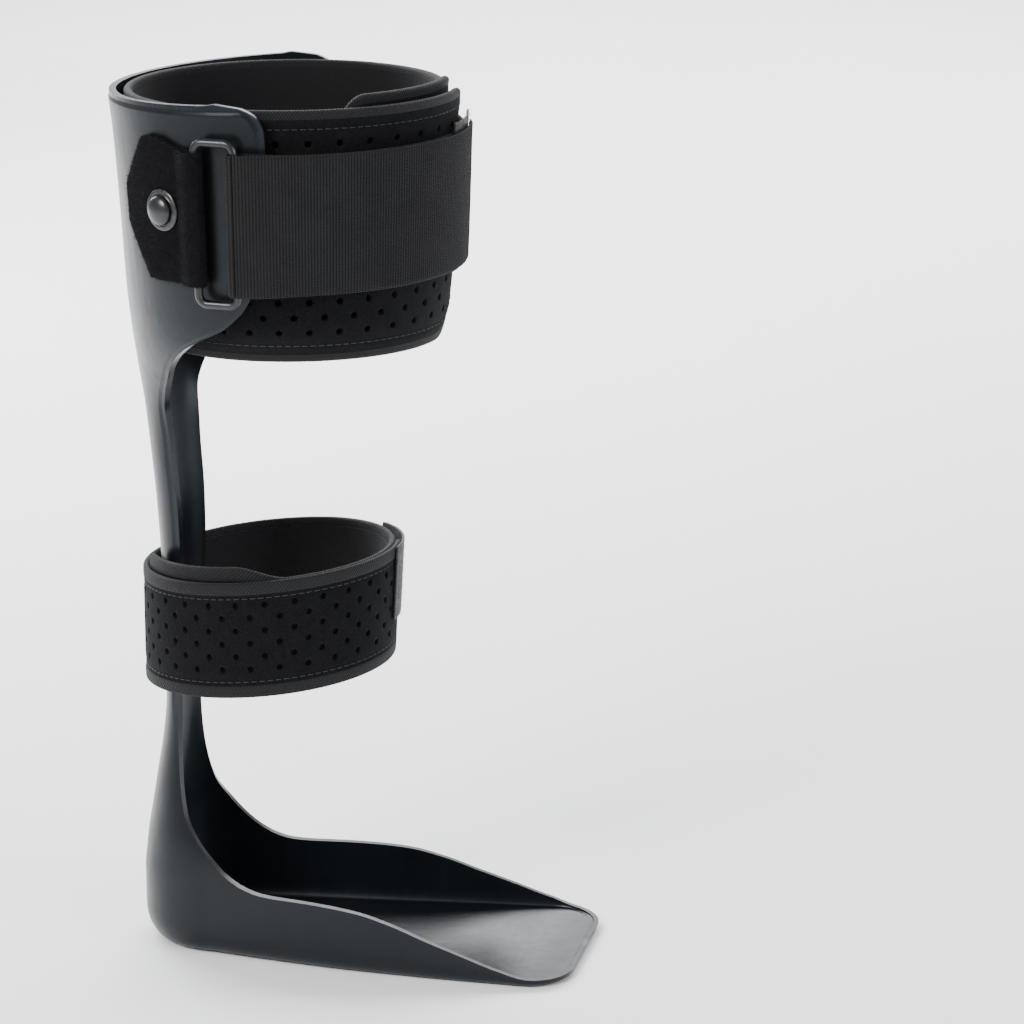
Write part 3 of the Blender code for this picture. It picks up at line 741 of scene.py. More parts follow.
def fibre_tool(look: bpy.types.Material) -> NodeTool:
    """Tree that scatters short leaning fibres over a mesh."""
    tool = NodeTool("fibres")
    tool.size("Density", 1.0e6)
    tool.size("Length", 0.0013)
    tool.size("Thickness", 0.00005)
    spread = tool.node("GeometryNodeDistributePointsOnFaces", Mesh="@Geometry",
                       Density="@Density", Seed=SEED)
    hair = tool.node("GeometryNodeMeshCone", {"fill_type": "NONE"}, Vertices=3, Radius_Top=0.0,
                     Radius_Bottom="@Thickness", Depth="@Length")
    lean = tool.node("FunctionNodeRandomValue", {"data_type": "FLOAT_VECTOR"}, Seed=SEED)
    lean.inputs[0].default_value = (-0.9, -0.9, -0.9)
    lean.inputs[1].default_value = (0.9, 0.9, 0.9)
    out = tool.node("ShaderNodeVectorMath", {"operation": "ADD"})
    tool.tree.links.new(spread.outputs["Normal"], out.inputs[0])
    tool.tree.links.new(lean.outputs[0], out.inputs[1])
    turn = tool.node("FunctionNodeAlignRotationToVector", {"axis": "Z"}, Vector=out.outputs[0])
    length = tool.node("FunctionNodeRandomValue", {"data_type": "FLOAT"}, Seed=SEED + 1)
    length.inputs[2].default_value = 0.4
    length.inputs[3].default_value = 1.3
    placed = tool.node("GeometryNodeInstanceOnPoints", Points=spread.outputs["Points"],
                       Instance=hair.outputs[0], Rotation=turn.outputs[0],
                       Scale=length.outputs[1])
    tool.close(placed.outputs[0], look)
    return tool


# ------------------------------------------------------------------- shape of the cuff

@dataclass(frozen=True)
class ShellForm:
    """Outline of the shell at each height, and the cloth lines that follow it."""

    wall: float = 2.9
    joint_height: float = 105.0
    rim_dip: float = 2.7
    rim_dip_starts: float = 296.0
    pad_gap: float = 1.8
    levels: tuple[tuple[float, ...], ...] = (
        (27.0, -58.0, -13.8, -30.0, 30.0), (28.4, -57.9, -17.2, -30.0, 30.0),
        (32.6, -57.4, -23.4, -30.0, 29.7),
        (40.8, -56.4, -30.9, -31.0, 28.4), (51.7, -54.4, -37.6, -34.5, 25.2),
        (64.7, -52.2, -40.0, -37.5, 21.5), (78.0, -49.9, -41.0, -38.6, 18.8),
        (90.0, -48.6, -41.3, -38.8, 17.6), (105.0, -48.1, -41.2, -38.6, 17.5),
        (125.0, -48.5, -40.0, -36.8, 18.6), (145.0, -49.3, -38.4, -35.0, 20.2),
        (165.0, -50.4, -38.8, -34.4, 21.6), (182.0, -51.8, -40.0, -35.2, 22.4),
        (195.0, -53.1, -41.0, -32.6, 24.6), (204.0, -54.0, -41.9, -27.6, 28.8),
        (211.0, -54.8, -40.6, -20.6, 35.4), (217.0, -55.5, -38.2, -13.2, 43.2),
        (223.0, -56.0, -35.6, -7.0, 51.0), (229.0, -56.6, -31.4, -3.0, 57.2),
        (236.0, -57.2, -22.6, -0.8, 61.8), (242.0, -57.8, -11.0, 0.0, 63.6),
        (253.0, -58.6, -1.2, 0.0, 64.9), (270.0, -59.5, 1.8, 0.0, 65.8),
        (290.0, -60.8, 3.8, 0.0, 66.4), (306.0, -62.0, 5.4, 0.0, 66.9),
        (312.0, -62.6, 4.9, 0.0, 67.0), (316.0, -63.0, 2.6, 0.0, 67.1),
        (318.6, -63.2, -1.6, 0.0, 67.2), (319.7, -63.3, -6.0, 0.0, 67.2),
        (320.2, -63.3, -12.5, 0.0, 67.2))
    pad_front: tuple[tuple[float, float], ...] = (
        (229.0, 55.5), (255.0, 58.4), (280.0, 59.4), (304.0, 60.2), (322.0, 62.6))

    def level(self, height: float) -> tuple[float, float, float, float]:
        """Rear, front edge, bow centre and half width of the shell at a height."""
        return tuple(smooth_value([(row[0], row[k]) for row in self.levels], height)
                     for k in (1, 2, 3, 4))

    def top(self) -> float:
        """Height of the top rim."""
        return self.levels[-1][0]

    def cuff(self, bearing: float, height: float, depth: float) -> Point:
        """Point on the cuff.

        Args:
            bearing: degrees round the leg; 0 is the rear, 90 lateral, 180 the front.
            height: height above the sole.
            depth: distance out from the shell's outer face, or from the pad's ahead of it.

        Returns:
            The point.
        """
        rear, _, _, half = self.level(height)
        turn = radians(bearing)
        reach = -rear if cos(turn) >= 0 else smooth_value(self.pad_front, height)
        side = half - 0.6 * max(-cos(turn), 0.0) ** 2
        return (-(reach + depth) * cos(turn), -(side + depth) * sin(turn), height)

    def pad(self, bearing: float, height: float, depth: float) -> Point:
        """Point on the calf pad, as cuff(), its depth measured from the pad's outer face."""
        rear, _, _, half = self.level(max(height, 232.0))
        inset = self.wall + self.pad_gap
        half -= max(242.0 - height, 0.0) * 0.12
        turn = radians(bearing)
        reach = -rear - inset if cos(turn) >= 0 else smooth_value(self.pad_front, height)
        return (-(reach + depth) * cos(turn), -(half - inset + depth) * sin(turn), height)


@dataclass(frozen=True)
class WrapForm:
    """The ankle wrap's slightly tilted ring."""

    centre: float = -9.3
    radius: float = 46.3
    low: float = 105.0
    high: float = 147.5
    tilt: float = 0.092

    def place(self, bearing: float, height: float, depth: float) -> Point:
        """Point on the wrap: bearing as on the cuff, depth from the outer face."""
        turn = radians(bearing)
        front = self.radius - 1.0 + 2.4 * (height - self.low) / (self.high - self.low)
        reach = self.radius if cos(turn) >= 0 else front
        x = self.centre - (reach + depth) * cos(turn)
        return (x, -(self.radius + depth) * sin(turn), height + self.tilt * (x - self.centre))


def resample(line: Sequence[Sequence[float]], stations: Sequence[float]) -> list[tuple]:
    """Points along a plan line with their unit normals.

    Args:
        line: plan points in order.
        stations: distances along it; negative ones count back from its end.

    Returns:
        A row (x, y, normal x, normal y) for each station.
    """
    points = np.array(line)
    length = np.concatenate([[0], np.cumsum(np.hypot(*np.diff(points, axis=0).T))])
    made = []
    for station in stations:
        at = station if station >= 0 else length[-1] + station
        here, before, after = ([float(np.interp(at + off, length, points[:, k])) for k in (0, 1)]
                               for off in (0.0, -0.8, 0.8))
        dx, dy = after[0] - before[0], after[1] - before[1]
        made.append((here[0], here[1], dy / hypot(dx, dy), -dx / hypot(dx, dy)))
    return made


def line_length(line: Sequence[Sequence[float]]) -> float:
    """Length of a plan line."""
    return float(np.hypot(*np.diff(np.array(line), axis=0).T).sum())


# -------------------------------------------------------------------- moulded shell

@dataclass
class MouldedShell:
    """Footplate, heel cup, strut and calf cuff, moulded as one piece."""

    form: ShellForm
    tray_top: float = 27.0
    tray_front: float = 108.0
    tray_corner: float = 18.0
    tray_slant: float = 1.5
    front_wall: float = 1.8
    medial_trim_shift: float = 8.0
    heel_columns: int = 34
    tray_columns: int = 46
    toe_columns: int = 10
    fillet_steps: int = 9
    step_width: float = 2.3
    step_depth: float = 0.38
    joint_x: float = -44.4
    bend: float = 12.0
    edge_stations: tuple[float, ...] = (0.0, 1.1, 2.0, 2.6, 3.6)
    flank_lateral: tuple[tuple[float, float], ...] = (
        (-30.0, 0.0), (31.0, 10.5), (81.0, 14.3), (108.0, 14.6))
    flank_medial: tuple[tuple[float, float], ...] = (
        (-30.0, 0.0), (31.0, 3.4), (81.0, 6.0), (108.0, 6.2))
    trim: tuple[tuple[float, float], ...] = (
        (-13.8, 27.0), (-10.0, 25.9), (-4.0, 25.25), (6.6, 25.0), (16.0, 24.5), (28.0, 23.2),
        (40.8, 19.9), (53.6, 15.2), (67.3, 10.4), (81.0, 5.6), (91.0, 3.0), (108.0, 2.4))

    def flank(self, side: Side, x: float) -> float:
        """How far the tray's side stands out from the heel's width at x."""
        return smooth_value(self.flank_lateral if side is Side.LATERAL else self.flank_medial, x)

    def half_section(self, height: float, side: Side) -> list[tuple[float, float]]:
        """Plan line of one level.

        Args:
            height: the level.
            side: side of the foot.

        Returns:
            Points from the rear centre to the trim edge.
        """
        rear, edge, centre, half = self.form.level(height)
        depth = centre - rear
        last = pi / 2 if edge >= centre else acos((centre - edge) / depth)
        line = [(centre - depth * cos(last * i / 90), half * sin(last * i / 90))
                for i in range(91)]
        steps = ceil(max(edge - centre, 0.0) / 3)
        for i in range(1, steps + 1):
            x = blend(centre, edge, i / steps)
            spread = self.flank(side, x) if height <= 2 * self.tray_top else 0.0
            line.append((x, half + spread))
        return [(x, side.value * y) for x, y in line]

    def level_row(self, height: float) -> list[tuple[float, ...]]:
        """One level's points.

        Args:
            height: the level.

        Returns:
            Rows (x, y, normal x, normal y, distance to the trim edge) from the lateral edge
            round the rear to the medial edge.
        """
        made = {}
        for side in Side:
            line = self.half_section(height, side)
            whole = line_length(line)
            edges = self.edge_stations
            plain = self.heel_columns - len(edges) + 1
            stations = [(whole - edges[-1]) * i / plain for i in range(plain)]
            stations += [whole - e for e in reversed(edges)]
            rows = []
            for (x, y, nx, ny), at in zip(resample(line, stations), stations):
                out = nx * (x + 20.0) * 0.02 + ny * y
                sign = -1 if out < 0 or (abs(y) < 0.5 and nx > 0) else 1
                rows.append((x, y, nx * sign, ny * sign, whole - at))
            rows[0] = (rows[0][0], 0.0, -1.0, 0.0, whole)
            made[side] = rows
        return list(reversed(made[Side.LATERAL])) + made[Side.MEDIAL][1:]

    def heights(self) -> list[float]:
        """Levels of the upright part, closer where the trim edge turns."""
        marks = [(28.2, 60.0, 15), (60.0, 182.0, 26), (182.0, 244.0, 26), (244.0, 300.0, 13),
                 (300.0, 316.0, 10)]
        rows = [blend(low, high, i / steps) for low, high, steps in marks for i in range(steps)]
        top = self.form.top()
        return rows + [316.0, top - 3.4, top - 2.6, top - 2.0, top - 1.1, top]

    def upright(self) -> tuple[list[Point], list[Point], list[float]]:
        """Outer points, inner points and rim marks of the upright part."""
        outer, inner, rims = [], [], []
        form = self.form
        for height in self.heights():
            above = max(0.0, (height - form.rim_dip_starts) / (form.top() - form.rim_dip_starts))
            row = self.level_row(height)
            for i, (x, y, nx, ny, away) in enumerate(row):
                off_rear = abs(i - self.heel_columns) / self.heel_columns
                z = height - above * form.rim_dip * (1 - off_rear ** 2)
                near = min(away, form.top() - height)
                # rim mark: 1 in the band along the trim edge and top rim, where the step line sinks
                # and the plastic paints a highlight
                mark = 1.0 - ease((near - self.step_width + 0.3) / 0.6)
                if height < 90.0:
                    mark = 0.0
                lift = -self.step_depth * mark
                outer.append((x + nx * lift, y + ny * lift, z))
                inner.append((x - nx * form.wall, y - ny * form.wall, z))
                rims.append(mark)
        return outer, inner, rims

    def tray_line(self, side: Side) -> list[tuple[float, ...]]:
        """Plan points of the tray's side from the heel cup to the toe edge.

        Args:
            side: side of the foot.

        Returns:
            Rows (x, y, normal x, normal y).
        """
        start, straight = self.trim[0][0], self.tray_front - self.tray_corner
        half = self.form.levels[0][4]
        line = [(x, half + self.flank(side, x))
                for x in (blend(start, straight, i / 60) for i in range(61))]
        wide = line[-1][1]
        for i in range(1, 25):
            turn = pi / 2 * i / 24
            slant = self.tray_slant * side.value * sin(turn)
            line.append((straight + self.tray_corner * sin(turn) + slant,
                         wide - self.tray_corner * (1 - cos(turn))))
        whole = line_length(line)
        stations = [whole * i / self.tray_columns for i in range(self.tray_columns + 1)]
        made = []
        for x, y, nx, ny in resample([(x, side.value * y) for x, y in line], stations):
            sign = 1 if ny * y + nx * 5 > 0 else -1
            made.append((x, y, nx * sign, ny * sign))
        return made

    def tray_columns_all(self) -> list[tuple[float, ...]]:
        """Every column of the tray, from the middle of the toe edge by the lateral side and
        the heel back to the medial corner and along the toe edge."""
        heel = [row[:4] for row in self.level_row(self.tray_top)]
        lateral, medial = self.tray_line(Side.LATERAL), self.tray_line(Side.MEDIAL)
        lateral[0], medial[0] = heel[0], heel[-1]
        across = np.array(medial[-1][:2]) - np.array(lateral[-1][:2])
        ahead = np.array([across[1], -across[0]]) / hypot(*across)
        toe = [(*(np.array(lateral[-1][:2]) + across * i / (2 * self.toe_columns)), *ahead)
               for i in range(1, 2 * self.toe_columns)]
        return (list(reversed(lateral[1:] + toe[:self.toe_columns])) + heel + medial[1:]
                + list(reversed(toe[self.toe_columns:])))

    def tray_point(self, x: float, y: float, nx: float, ny: float, step: int, ahead: bool,
                   top: float) -> tuple[Point, Point]:
        """Outer and inner point of one tray column.

        Args:
            x: column's place along the foot.
            y: column's place across it.
            nx: column's normal, along the foot.
            ny: column's normal, across it.
            step: row, counted up from the flat sole.
            ahead: whether the column is ahead of the heel cup.
            top: height of the trim edge there.

        Returns:
            The two points.
        """
        start = self.trim[0][0]
        forward = clamp((x - start) / (self.tray_front - start))
        rearward = clamp((start - x) / 45.0)
        wall = blend(self.form.wall, self.front_wall, forward)
        reach = blend(5.2, 2.4, forward) if ahead or x >= start else blend(5.2, 7.6, rearward)
        rise = min(blend(8.0, 12.0, rearward), top - 0.3)
        turn = pi / 2 * min(step / self.fillet_steps, 1.0)
        if step <= self.fillet_steps:
            z, z_in = rise * (1 - cos(turn)), wall + (rise - wall) * (1 - cos(turn))
        else:
            z = z_in = blend(rise, top, (step - self.fillet_steps) / self.fillet_steps)
        out, back = reach * (1 - sin(turn)), reach - (reach - wall) * sin(turn)
        return (x - nx * out, y - ny * out, z), (x - nx * back, y - ny * back, z_in)

    def sole_faces(self, middle: int, count: int) -> list[list[int]]:
        """Faces of the flat sole: rungs from side to side and a fan at the toe edge."""
        toe = self.toe_columns
        faces = [[middle, middle - 1, middle + 1]]
        faces += [[middle - j, middle - j - 1, middle + j + 1, middle + j]
                  for j in range(1, middle - toe - 1)]
        left, right = toe + 1, 2 * middle - toe - 1
        faces += [[left, j, j - 1] for j in range(toe, 0, -1)]
        faces.append([left, 0, right])
        faces += [[right, (j + 1) % count, j] for j in range(right + 1, count)]
        return faces

    def build(self, look: bpy.types.Material) -> bpy.types.Object:
        """Build the shell as one closed mesh with rounded edges.

        Args:
            look: its plastic.

        Returns:
            The shell, in one piece across the strut's joint.
        """
        columns = self.tray_columns_all()
        middle = self.toe_columns + self.tray_columns + self.heel_columns
        rows = 2 * self.fillet_steps + 1
        outer, inner = [], []
        for step in range(rows):
            for j, (x, y, nx, ny) in enumerate(columns):
                ahead = abs(j - middle) > self.heel_columns
                shift = (self.medial_trim_shift * ease((x - self.trim[0][0]) / 45.0)
                         if j > middle else 0.0)
                top = smooth_value(self.trim, x - shift) if ahead else self.tray_top
                out, back = self.tray_point(x, y, nx, ny, step, ahead, top)
                outer.append(out)
                inner.append(back)
        count = len(columns)
        faces = grid_faces(rows, count, wrap=True) + self.sole_faces(middle, count)
        first, width = len(outer), 2 * self.heel_columns + 1
        rims = [0.0] * first
        more_outer, more_inner, more_rims = self.upright()
        outer, inner, rims = outer + more_outer, inner + more_inner, rims + more_rims
        below = (rows - 1) * count + middle - self.heel_columns
        faces += [[below + c, below + c + 1, first + c + 1, first + c] for c in range(width - 1)]
        faces += grid_faces(len(self.heights()), width, first)
        bm = close_sheet(outer, inner, faces)
        bm.verts.ensure_lookup_table()
        # rim marks, which the plastic turns into a painted highlight along the trim edge and step
        # line
        layer = bm.verts.layers.float.new("rim")
        for vertex, mark in zip(bm.verts, rims):
            vertex[layer] = mark
        shell = piece_from(bm, "moulded_shell", look, 60.0)
        round_edges(shell, 0.85)
        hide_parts("calf_shell", "foot_shell")
        x, low, high = self.joint_x, *(self.form.joint_height + s for s in (-self.bend, self.bend))
        x * MM
        low * MM
        x * MM
        high * MM
        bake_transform(shell)
        LOG.info("moulded_shell: %d faces across the strut joint", len(shell.data.polygons))
        return shell


# ------------------------------------------------------------------------ cloth forms

@dataclass
class Band:
    """A band of cloth wrapped on a form, laid out by bearing and height."""

    place: Place
    scale: float = 1.14

    def solid(self, name: str, bearings: Sequence[float], heights: Sequence[float],
              depth: Callable[[float, float], float], thick: Callable[[float, float], float],
              look: bpy.types.Material,
              marks: Callable[[int, int], float] | None = None) -> bpy.types.Object:
        """Closed band with a top and bottom face on a regular grid.

        Args:
            name: the piece's name.
            bearings: columns of the grid.
            heights: rows of the grid.
            depth: depth of the middle of the band at (bearing, height).
            thick: thickness there.
            look: material.
            marks: value of the "hole" attribute at (row, column) of the outer face.

        Returns:
            The band, with its lengths in centimetres as UV map "cloth".
        """
        outer, inner = [], []
        for z in heights:
            for b in bearings:
                middle, half = depth(b, z), thick(b, z) / 2
                outer.append(self.place(b, z, middle + half))
                inner.append(self.place(b, z, middle - half))
        bm = close_sheet(outer, inner, grid_faces(len(heights), len(bearings)))
        bm.verts.ensure_lookup_table()
        columns, count = len(bearings), len(outer)
        uv = bm.loops.layers.uv.new("cloth")
        spot = {}
        for i, vertex in enumerate(bm.verts):
            row, column = divmod(i % count, columns)
            spot[vertex] = (bearings[column] * self.scale * 0.1, heights[row] * 0.1)
        for face in bm.faces:
            for loop in face.loops:
                loop[uv].uv = spot[loop.vert]
        if marks:
            layer = bm.verts.layers.float.new("hole")
            for i in range(count):
                bm.verts[i][layer] = marks(*divmod(i, columns))
        return piece_from(bm, name, look, 60.0)

    def tape(self, name: str, path: Sequence[tuple[float, float]],
             depth: Callable[[float, float], float], thick: float, width: float,
             look: bpy.types.Material, closed: bool = True, wall: float = 0.55
             ) -> bpy.types.Object:
        """Binding tape folded over an edge, swept along it.

        Args:
            name: the piece's name.
            path: edge of the cloth as (length along, height) points, in order, with the cloth
                on the left.
            depth: depth of the cloth's middle at (bearing, height).
            thick: thickness of the folded tape across the edge.
            width: width of the folded tape.
            look: material.
            closed: whether the path closes on itself.
            wall: thickness of the tape itself.

        Returns:
            The tape, with its lengths in centimetres as UV map "cloth".
        """
        half, thin = thick / 2, wall
        nose = [(half * 0.8 * (1 - sin(pi * i / 8)), half * cos(pi * i / 8)) for i in range(9)]
        over = [(width, half - 0.42), (width - 0.25, half - 0.12), (width - 0.8, half),
                (width * 0.6, half + 0.05), (half + 0.5, half)]
        under = [(w, -d) for w, d in reversed(over)]
        inside = [(w, d - thin if d > 0 else d + thin)
                  for w, d in ((width, -half + 0.4), (thin + 0.5, -half), (thin + 0.5, half),
                               (width, half - 0.4))]
        profile = over + nose + under + inside
        points = np.array(path, float)
        count = len(points)
        before = np.roll(points, 1, axis=0) if closed else np.vstack([points[:1], points[:-1]])
        after = np.roll(points, -1, axis=0) if closed else np.vstack([points[1:], points[-1:]])
        ahead = after - before
        ahead /= np.hypot(ahead[:, 0], ahead[:, 1])[:, None]
        inward = np.stack([-ahead[:, 1], ahead[:, 0]], axis=1)
        run = np.concatenate([[0], np.cumsum(np.hypot(*np.diff(points, axis=0).T))])
        bm = bmesh.new()
        rings = []
        for i in range(count):
            ring = []
            for w, d in profile:
                u, v = points[i] + inward[i] * w
                bearing = u / self.scale
                x = depth(bearing, v) + d
                ring.append(bm.verts.new(Vector(self.place(bearing, v, x)) * MM))
            rings.append(ring)
        across = np.concatenate([[0], np.cumsum(np.hypot(*np.diff(np.array(profile), axis=0).T))])
        uv = bm.loops.layers.uv.new("cloth")
        sides = len(profile)
        for i in range(count if closed else count - 1):
            j = (i + 1) % count
            step = run[i + 1] if i + 1 < count else run[i] + 1.5
            for k in range(sides):
                n = (k + 1) % sides
                face = bm.faces.new([rings[i][k], rings[j][k], rings[j][n], rings[i][n]])
                far = across[n] if n else across[k] + 1.0
                for loop, at in zip(face.loops, ((run[i], across[k]), (step, across[k]),
                                                 (step, far), (run[i], far))):
                    loop[uv].uv = (at[0] * 0.1, at[1] * 0.1)
        if not closed:
            bm.faces.new(rings[0])
            bm.faces.new(list(reversed(rings[-1])))
        bmesh.ops.recalc_face_normals(bm, faces=bm.faces)
        return piece_from(bm, name, look, 70.0)

    def stitches(self, name: str, lines: Iterable[Sequence[tuple[float, float]]],
                 depth: Callable[[float, float], float], tool: NodeTool, pitch: float
                 ) -> bpy.types.Object:
        """Rows of stitches on the cloth.

        Args:
            name: the piece's name.
            lines: stitch lines as (length along, height) points.
            depth: depth of the thread at (bearing, height).
            tool: the stitch tree.
            pitch: distance from stitch to stitch.

        Returns:
            The stitches as one mesh.
        """
        curve = bpy.data.curves.new(name + "_path", "CURVE")
        curve.dimensions = "3D"
        for line in lines:
            spline = curve.splines.new("POLY")
            spline.points.add(len(line) - 1)
            for point, (u, v) in zip(spline.points, line):
                bearing = u / self.scale
                point.co = (*(Vector(self.place(bearing, v, depth(bearing, v))) * MM), 1.0)
        holder = bpy.data.objects.new(name + "_path", curve)
        bpy.context.scene.collection.objects.link(holder)
        return mesh_through(holder, name, tool, {"Pitch": pitch * MM, "Length": pitch * 0.72 * MM})


def mesh_through(holder: bpy.types.Object, name: str, tool: NodeTool,
                 sizes: dict[str, float]) -> bpy.types.Object:
    """Run a tree on a helper object and keep only the mesh that it makes.

    Args:
        holder: helper object, which is removed.
        name: name of the mesh object that is made.
        tool: the tree.
        sizes: values of its inputs.

    Returns:
        The new piece.
    """
    made = holder.modifiers.new(tool.tree.name, "NODES")
    made.node_group = tool.tree
    for item in tool.tree.interface.items_tree:
        if item.in_out == "INPUT" and item.name in sizes:
            made[item.identifier] = sizes[item.name]
    graph = bpy.context.evaluated_depsgraph_get()
    graph.update()
    mesh = bpy.data.meshes.new_from_object(holder.evaluated_get(graph), depsgraph=graph)
    mesh.name = name
    piece = bpy.data.objects.new(name, mesh)
    bpy.context.scene.collection.objects.link(piece)
    bpy.data.objects.remove(holder)
    return piece


def spaced(start: float, end: float, step: float) -> list[float]:
    """Even positions from start to end, about a step apart."""
    count = max(1, round(abs(end - start) / step))
    return [blend(start, end, i / count) for i in range(count + 1)]


def rounded_path(u0: float, u1: float, v0: float, v1: float,
                 radii: Sequence[float], step: float = 1.6) -> list[tuple[float, float]]:
    """Closed edge path of a band with rounded corners, the cloth on its left.

    Args:
        u0: lower length along.
        u1: upper length along.
        v0: lower edge.
        v1: upper edge.
        radii: corner radii at (u0, v0), (u1, v0), (u1, v1) and (u0, v1).
        step: distance between points.

    Returns:
        The path's points.
    """
    corners = [(u0, v0, 1, 1), (u1, v0, -1, 1), (u1, v1, -1, -1), (u0, v1, 1, -1)]
    starts = [pi, 1.5 * pi, 0.0, 0.5 * pi]
    anchor = []
    for (u, v, su, sv), radius, turn in zip(corners, radii, starts):
        middle = (u + su * radius, v + sv * radius)
        steps = max(4, round(radius * pi / 2 / step))
        anchor.append([(middle[0] + radius * cos(turn + pi / 2 * i / steps),
                        middle[1] + radius * sin(turn + pi / 2 * i / steps))
                       for i in range(steps + 1)])
    path = []
    for here, following in zip(anchor, anchor[1:] + anchor[:1]):
        path += here
        run = hypot(following[0][0] - here[-1][0], following[0][1] - here[-1][1])
        count = max(1, round(run / step))
        path += [(blend(here[-1][0], following[0][0], i / count),
                  blend(here[-1][1], following[0][1], i / count)) for i in range(1, count)]
    return path


@dataclass
class PaddedBand:
    """Perforated foam band with its edges pinched into a binding tape."""

    name: str
    place: Place
    layer: Callable[[float], float]
    start: float
    end: float
    low: float
    high: float
    foam: float
    tape_width: float
    radii: tuple[float, float, float, float]
    body: Body
    scale: float
    cap: Callable[[float, float], float]
    holes: tuple[float, float]
    column_pitch: float = 12.0
    row_pitch: float = 11.0
    hole_radius: float = 1.3
    pinch: float = 1.2
    bound_ends: bool = True

    def edge_away(self, bearing: float, height: float) -> float:
        """Distance from a point of the band to its nearest edge."""
        ends = min(bearing - self.start, self.end - bearing) * self.scale
        near = min(height - self.low, self.high - height)
        return min(near, ends) if self.bound_ends else near

    def corner(self, bearing: float, lower: bool) -> float:
        """How far a rounded corner cuts the lower or upper edge back at a bearing."""
        r00, r10, r11, r01 = self.radii
        cut = 0.0
        for away, radius in ((bearing - self.start, r00 if lower else r01),
                             (self.end - bearing, r10 if lower else r11)):
            gap = radius - max(away * self.scale, 0.0)
            if gap > 0:
                cut = max(cut, radius - (radius * radius - gap * gap) ** 0.5)
        return cut

    def seat(self, bearing: float, height: float, depth: float) -> Point:
        """Point of the band after its corners are rounded."""
        low, high = self.low + self.corner(bearing, True), self.high - self.corner(bearing, False)
        part = (height - self.low) / (self.high - self.low)
        return self.place(bearing, blend(low, high, part), depth)

    def groove(self, away: float) -> float:
        """Depth of the dip along the stitch line beside the tape."""
        return 0.42 * 2.0 ** (-((away - self.tape_width - 1.3) / 0.9) ** 2)

    def outer_face(self, bearing: float, height: float) -> float:
        """Depth of the foam's outer face."""
        away = self.edge_away(bearing, height)
        dip = self.pinch * (1 - ease(away / (self.tape_width + 1.0)))
        return self.layer(bearing) - dip - self.groove(away)

    def inner_face(self, bearing: float, height: float) -> float:
        """Depth of the foam's inner face."""
        away = self.edge_away(bearing, height)
        rise = self.pinch * 0.45 * (1 - ease(away / (self.tape_width + 1.0)))
        return self.layer(bearing) - self.foam + rise

    def stations(self, low: float, high: float, pitch: float, bound: bool
                 ) -> tuple[list[float], list[bool]]:
        """Grid lines across the band.

        Args:
            low: first edge.
            high: last edge.
            pitch: distance of the plain lines.
            bound: whether the edges carry the tape and its stitch line.

        Returns:
            The lines, and whether each belongs to the plain middle.
        """
        tape = self.tape_width
        edge = [1.5, tape * 0.6, tape - 0.4, tape + 0.6, tape + 1.3, tape + 2.0] if bound else [0.0]
        inner = (edge[-1] + 1.6) if bound else 0.0
        plain = spaced(low + inner, high - inner, pitch) if bound else spaced(low, high, pitch)
        if not bound:
            return plain, [True] * len(plain)
        lines = [low + e for e in edge] + plain + [high - e for e in reversed(edge)]
        return lines, [False] * len(edge) + [True] * len(plain) + [False] * len(edge)

    def build(self, look: bpy.types.Material, tool: NodeTool) -> bpy.types.Object:
        """Build the foam: laid out, puffed by a cloth simulation, and perforated.

        Args:
            look: loop fabric.
            tool: the perforation tree.

        Returns:
            The foam.
        """
        rows, plain_rows = self.stations(self.low, self.high, self.row_pitch / 4, True)
        along, plain_columns = self.stations(self.start * self.scale, self.end * self.scale,
                                             self.column_pitch / 4, self.bound_ends)
        bearings = [u / self.scale for u in along]

        def mark(row: int, column: int) -> float:
            """1 where a hole goes."""
            if not (plain_rows[row] and plain_columns[column]):
                return 0.0
            r, c = row - plain_rows.index(True), column - plain_columns.index(True)
            inside = self.holes[0] < bearings[column] < self.holes[1]
            cut = max(self.corner(bearings[column], True), self.corner(bearings[column], False))
            return float(inside and cut < 1.0 and (r % 4, c % 4) in ((1, 1), (3, 3)))

        band = Band(self.seat, self.scale)
        piece = band.solid(self.name, bearings, rows,
                           lambda b, z: (self.outer_face(b, z) + self.inner_face(b, z)) / 2,
                           lambda b, z: self.outer_face(b, z) - self.inner_face(b, z), look, mark)
        count = len(rows) * len(bearings)
        loose, caps = [], []
        for i in range(2 * count):
            row, column = divmod(i % count, len(bearings))
            away = self.edge_away(bearings[column], rows[row]) - self.tape_width - 1.3
            free = i < count and away > 0.5
            loose.append(1.0 if free else 0.0)
            spread = ease(away / 9.0)
            caps.append(self.cap(bearings[column], rows[row]) * spread if free else 0.0)
        inflate(piece, loose, caps)
        refine(piece, 1)
        tool.run(piece, {"Radius": self.hole_radius * MM, "Depth": self.foam * 1.2 * MM})
        return piece

    def binding(self, look: bpy.types.Material, thick: float, middle: float,
                wall: float) -> bpy.types.Object:
        """Build the binding tape round the band.

        Args:
            look: the tape's material.
            thick: thickness of the folded tape.
            middle: depth of its middle below the layer's outer face.
            wall: thickness of the tape itself.

        Returns:
            The tape.
        """
        path = rounded_path(self.start * self.scale, self.end * self.scale, self.low, self.high,
                            [max(r, 1.5) for r in self.radii])
        if not self.bound_ends:
            path = self.open_path(path)
        band = Band(self.place, self.scale)
        return band.tape(self.name + "_binding", path, lambda b, z: self.layer(b) - middle, thick,
                         self.tape_width, look, self.bound_ends, wall)

    def open_path(self, path: list[tuple[float, float]]) -> list[tuple[float, float]]:
        """Edge path of a band whose end at the joint with its flap carries no tape."""
        raise NotImplementedError

    def stitch_lines(self) -> list[list[tuple[float, float]]]:
        """Stitch lines just inside the tape, as (length along, height)."""
        inset = self.tape_width + 1.3
        radii = [max(r - inset, 2.0) for r in self.radii]
        path = rounded_path(self.start * self.scale + inset, self.end * self.scale - inset,
                            self.low + inset, self.high - inset, radii)
        return [path + path[:1]]

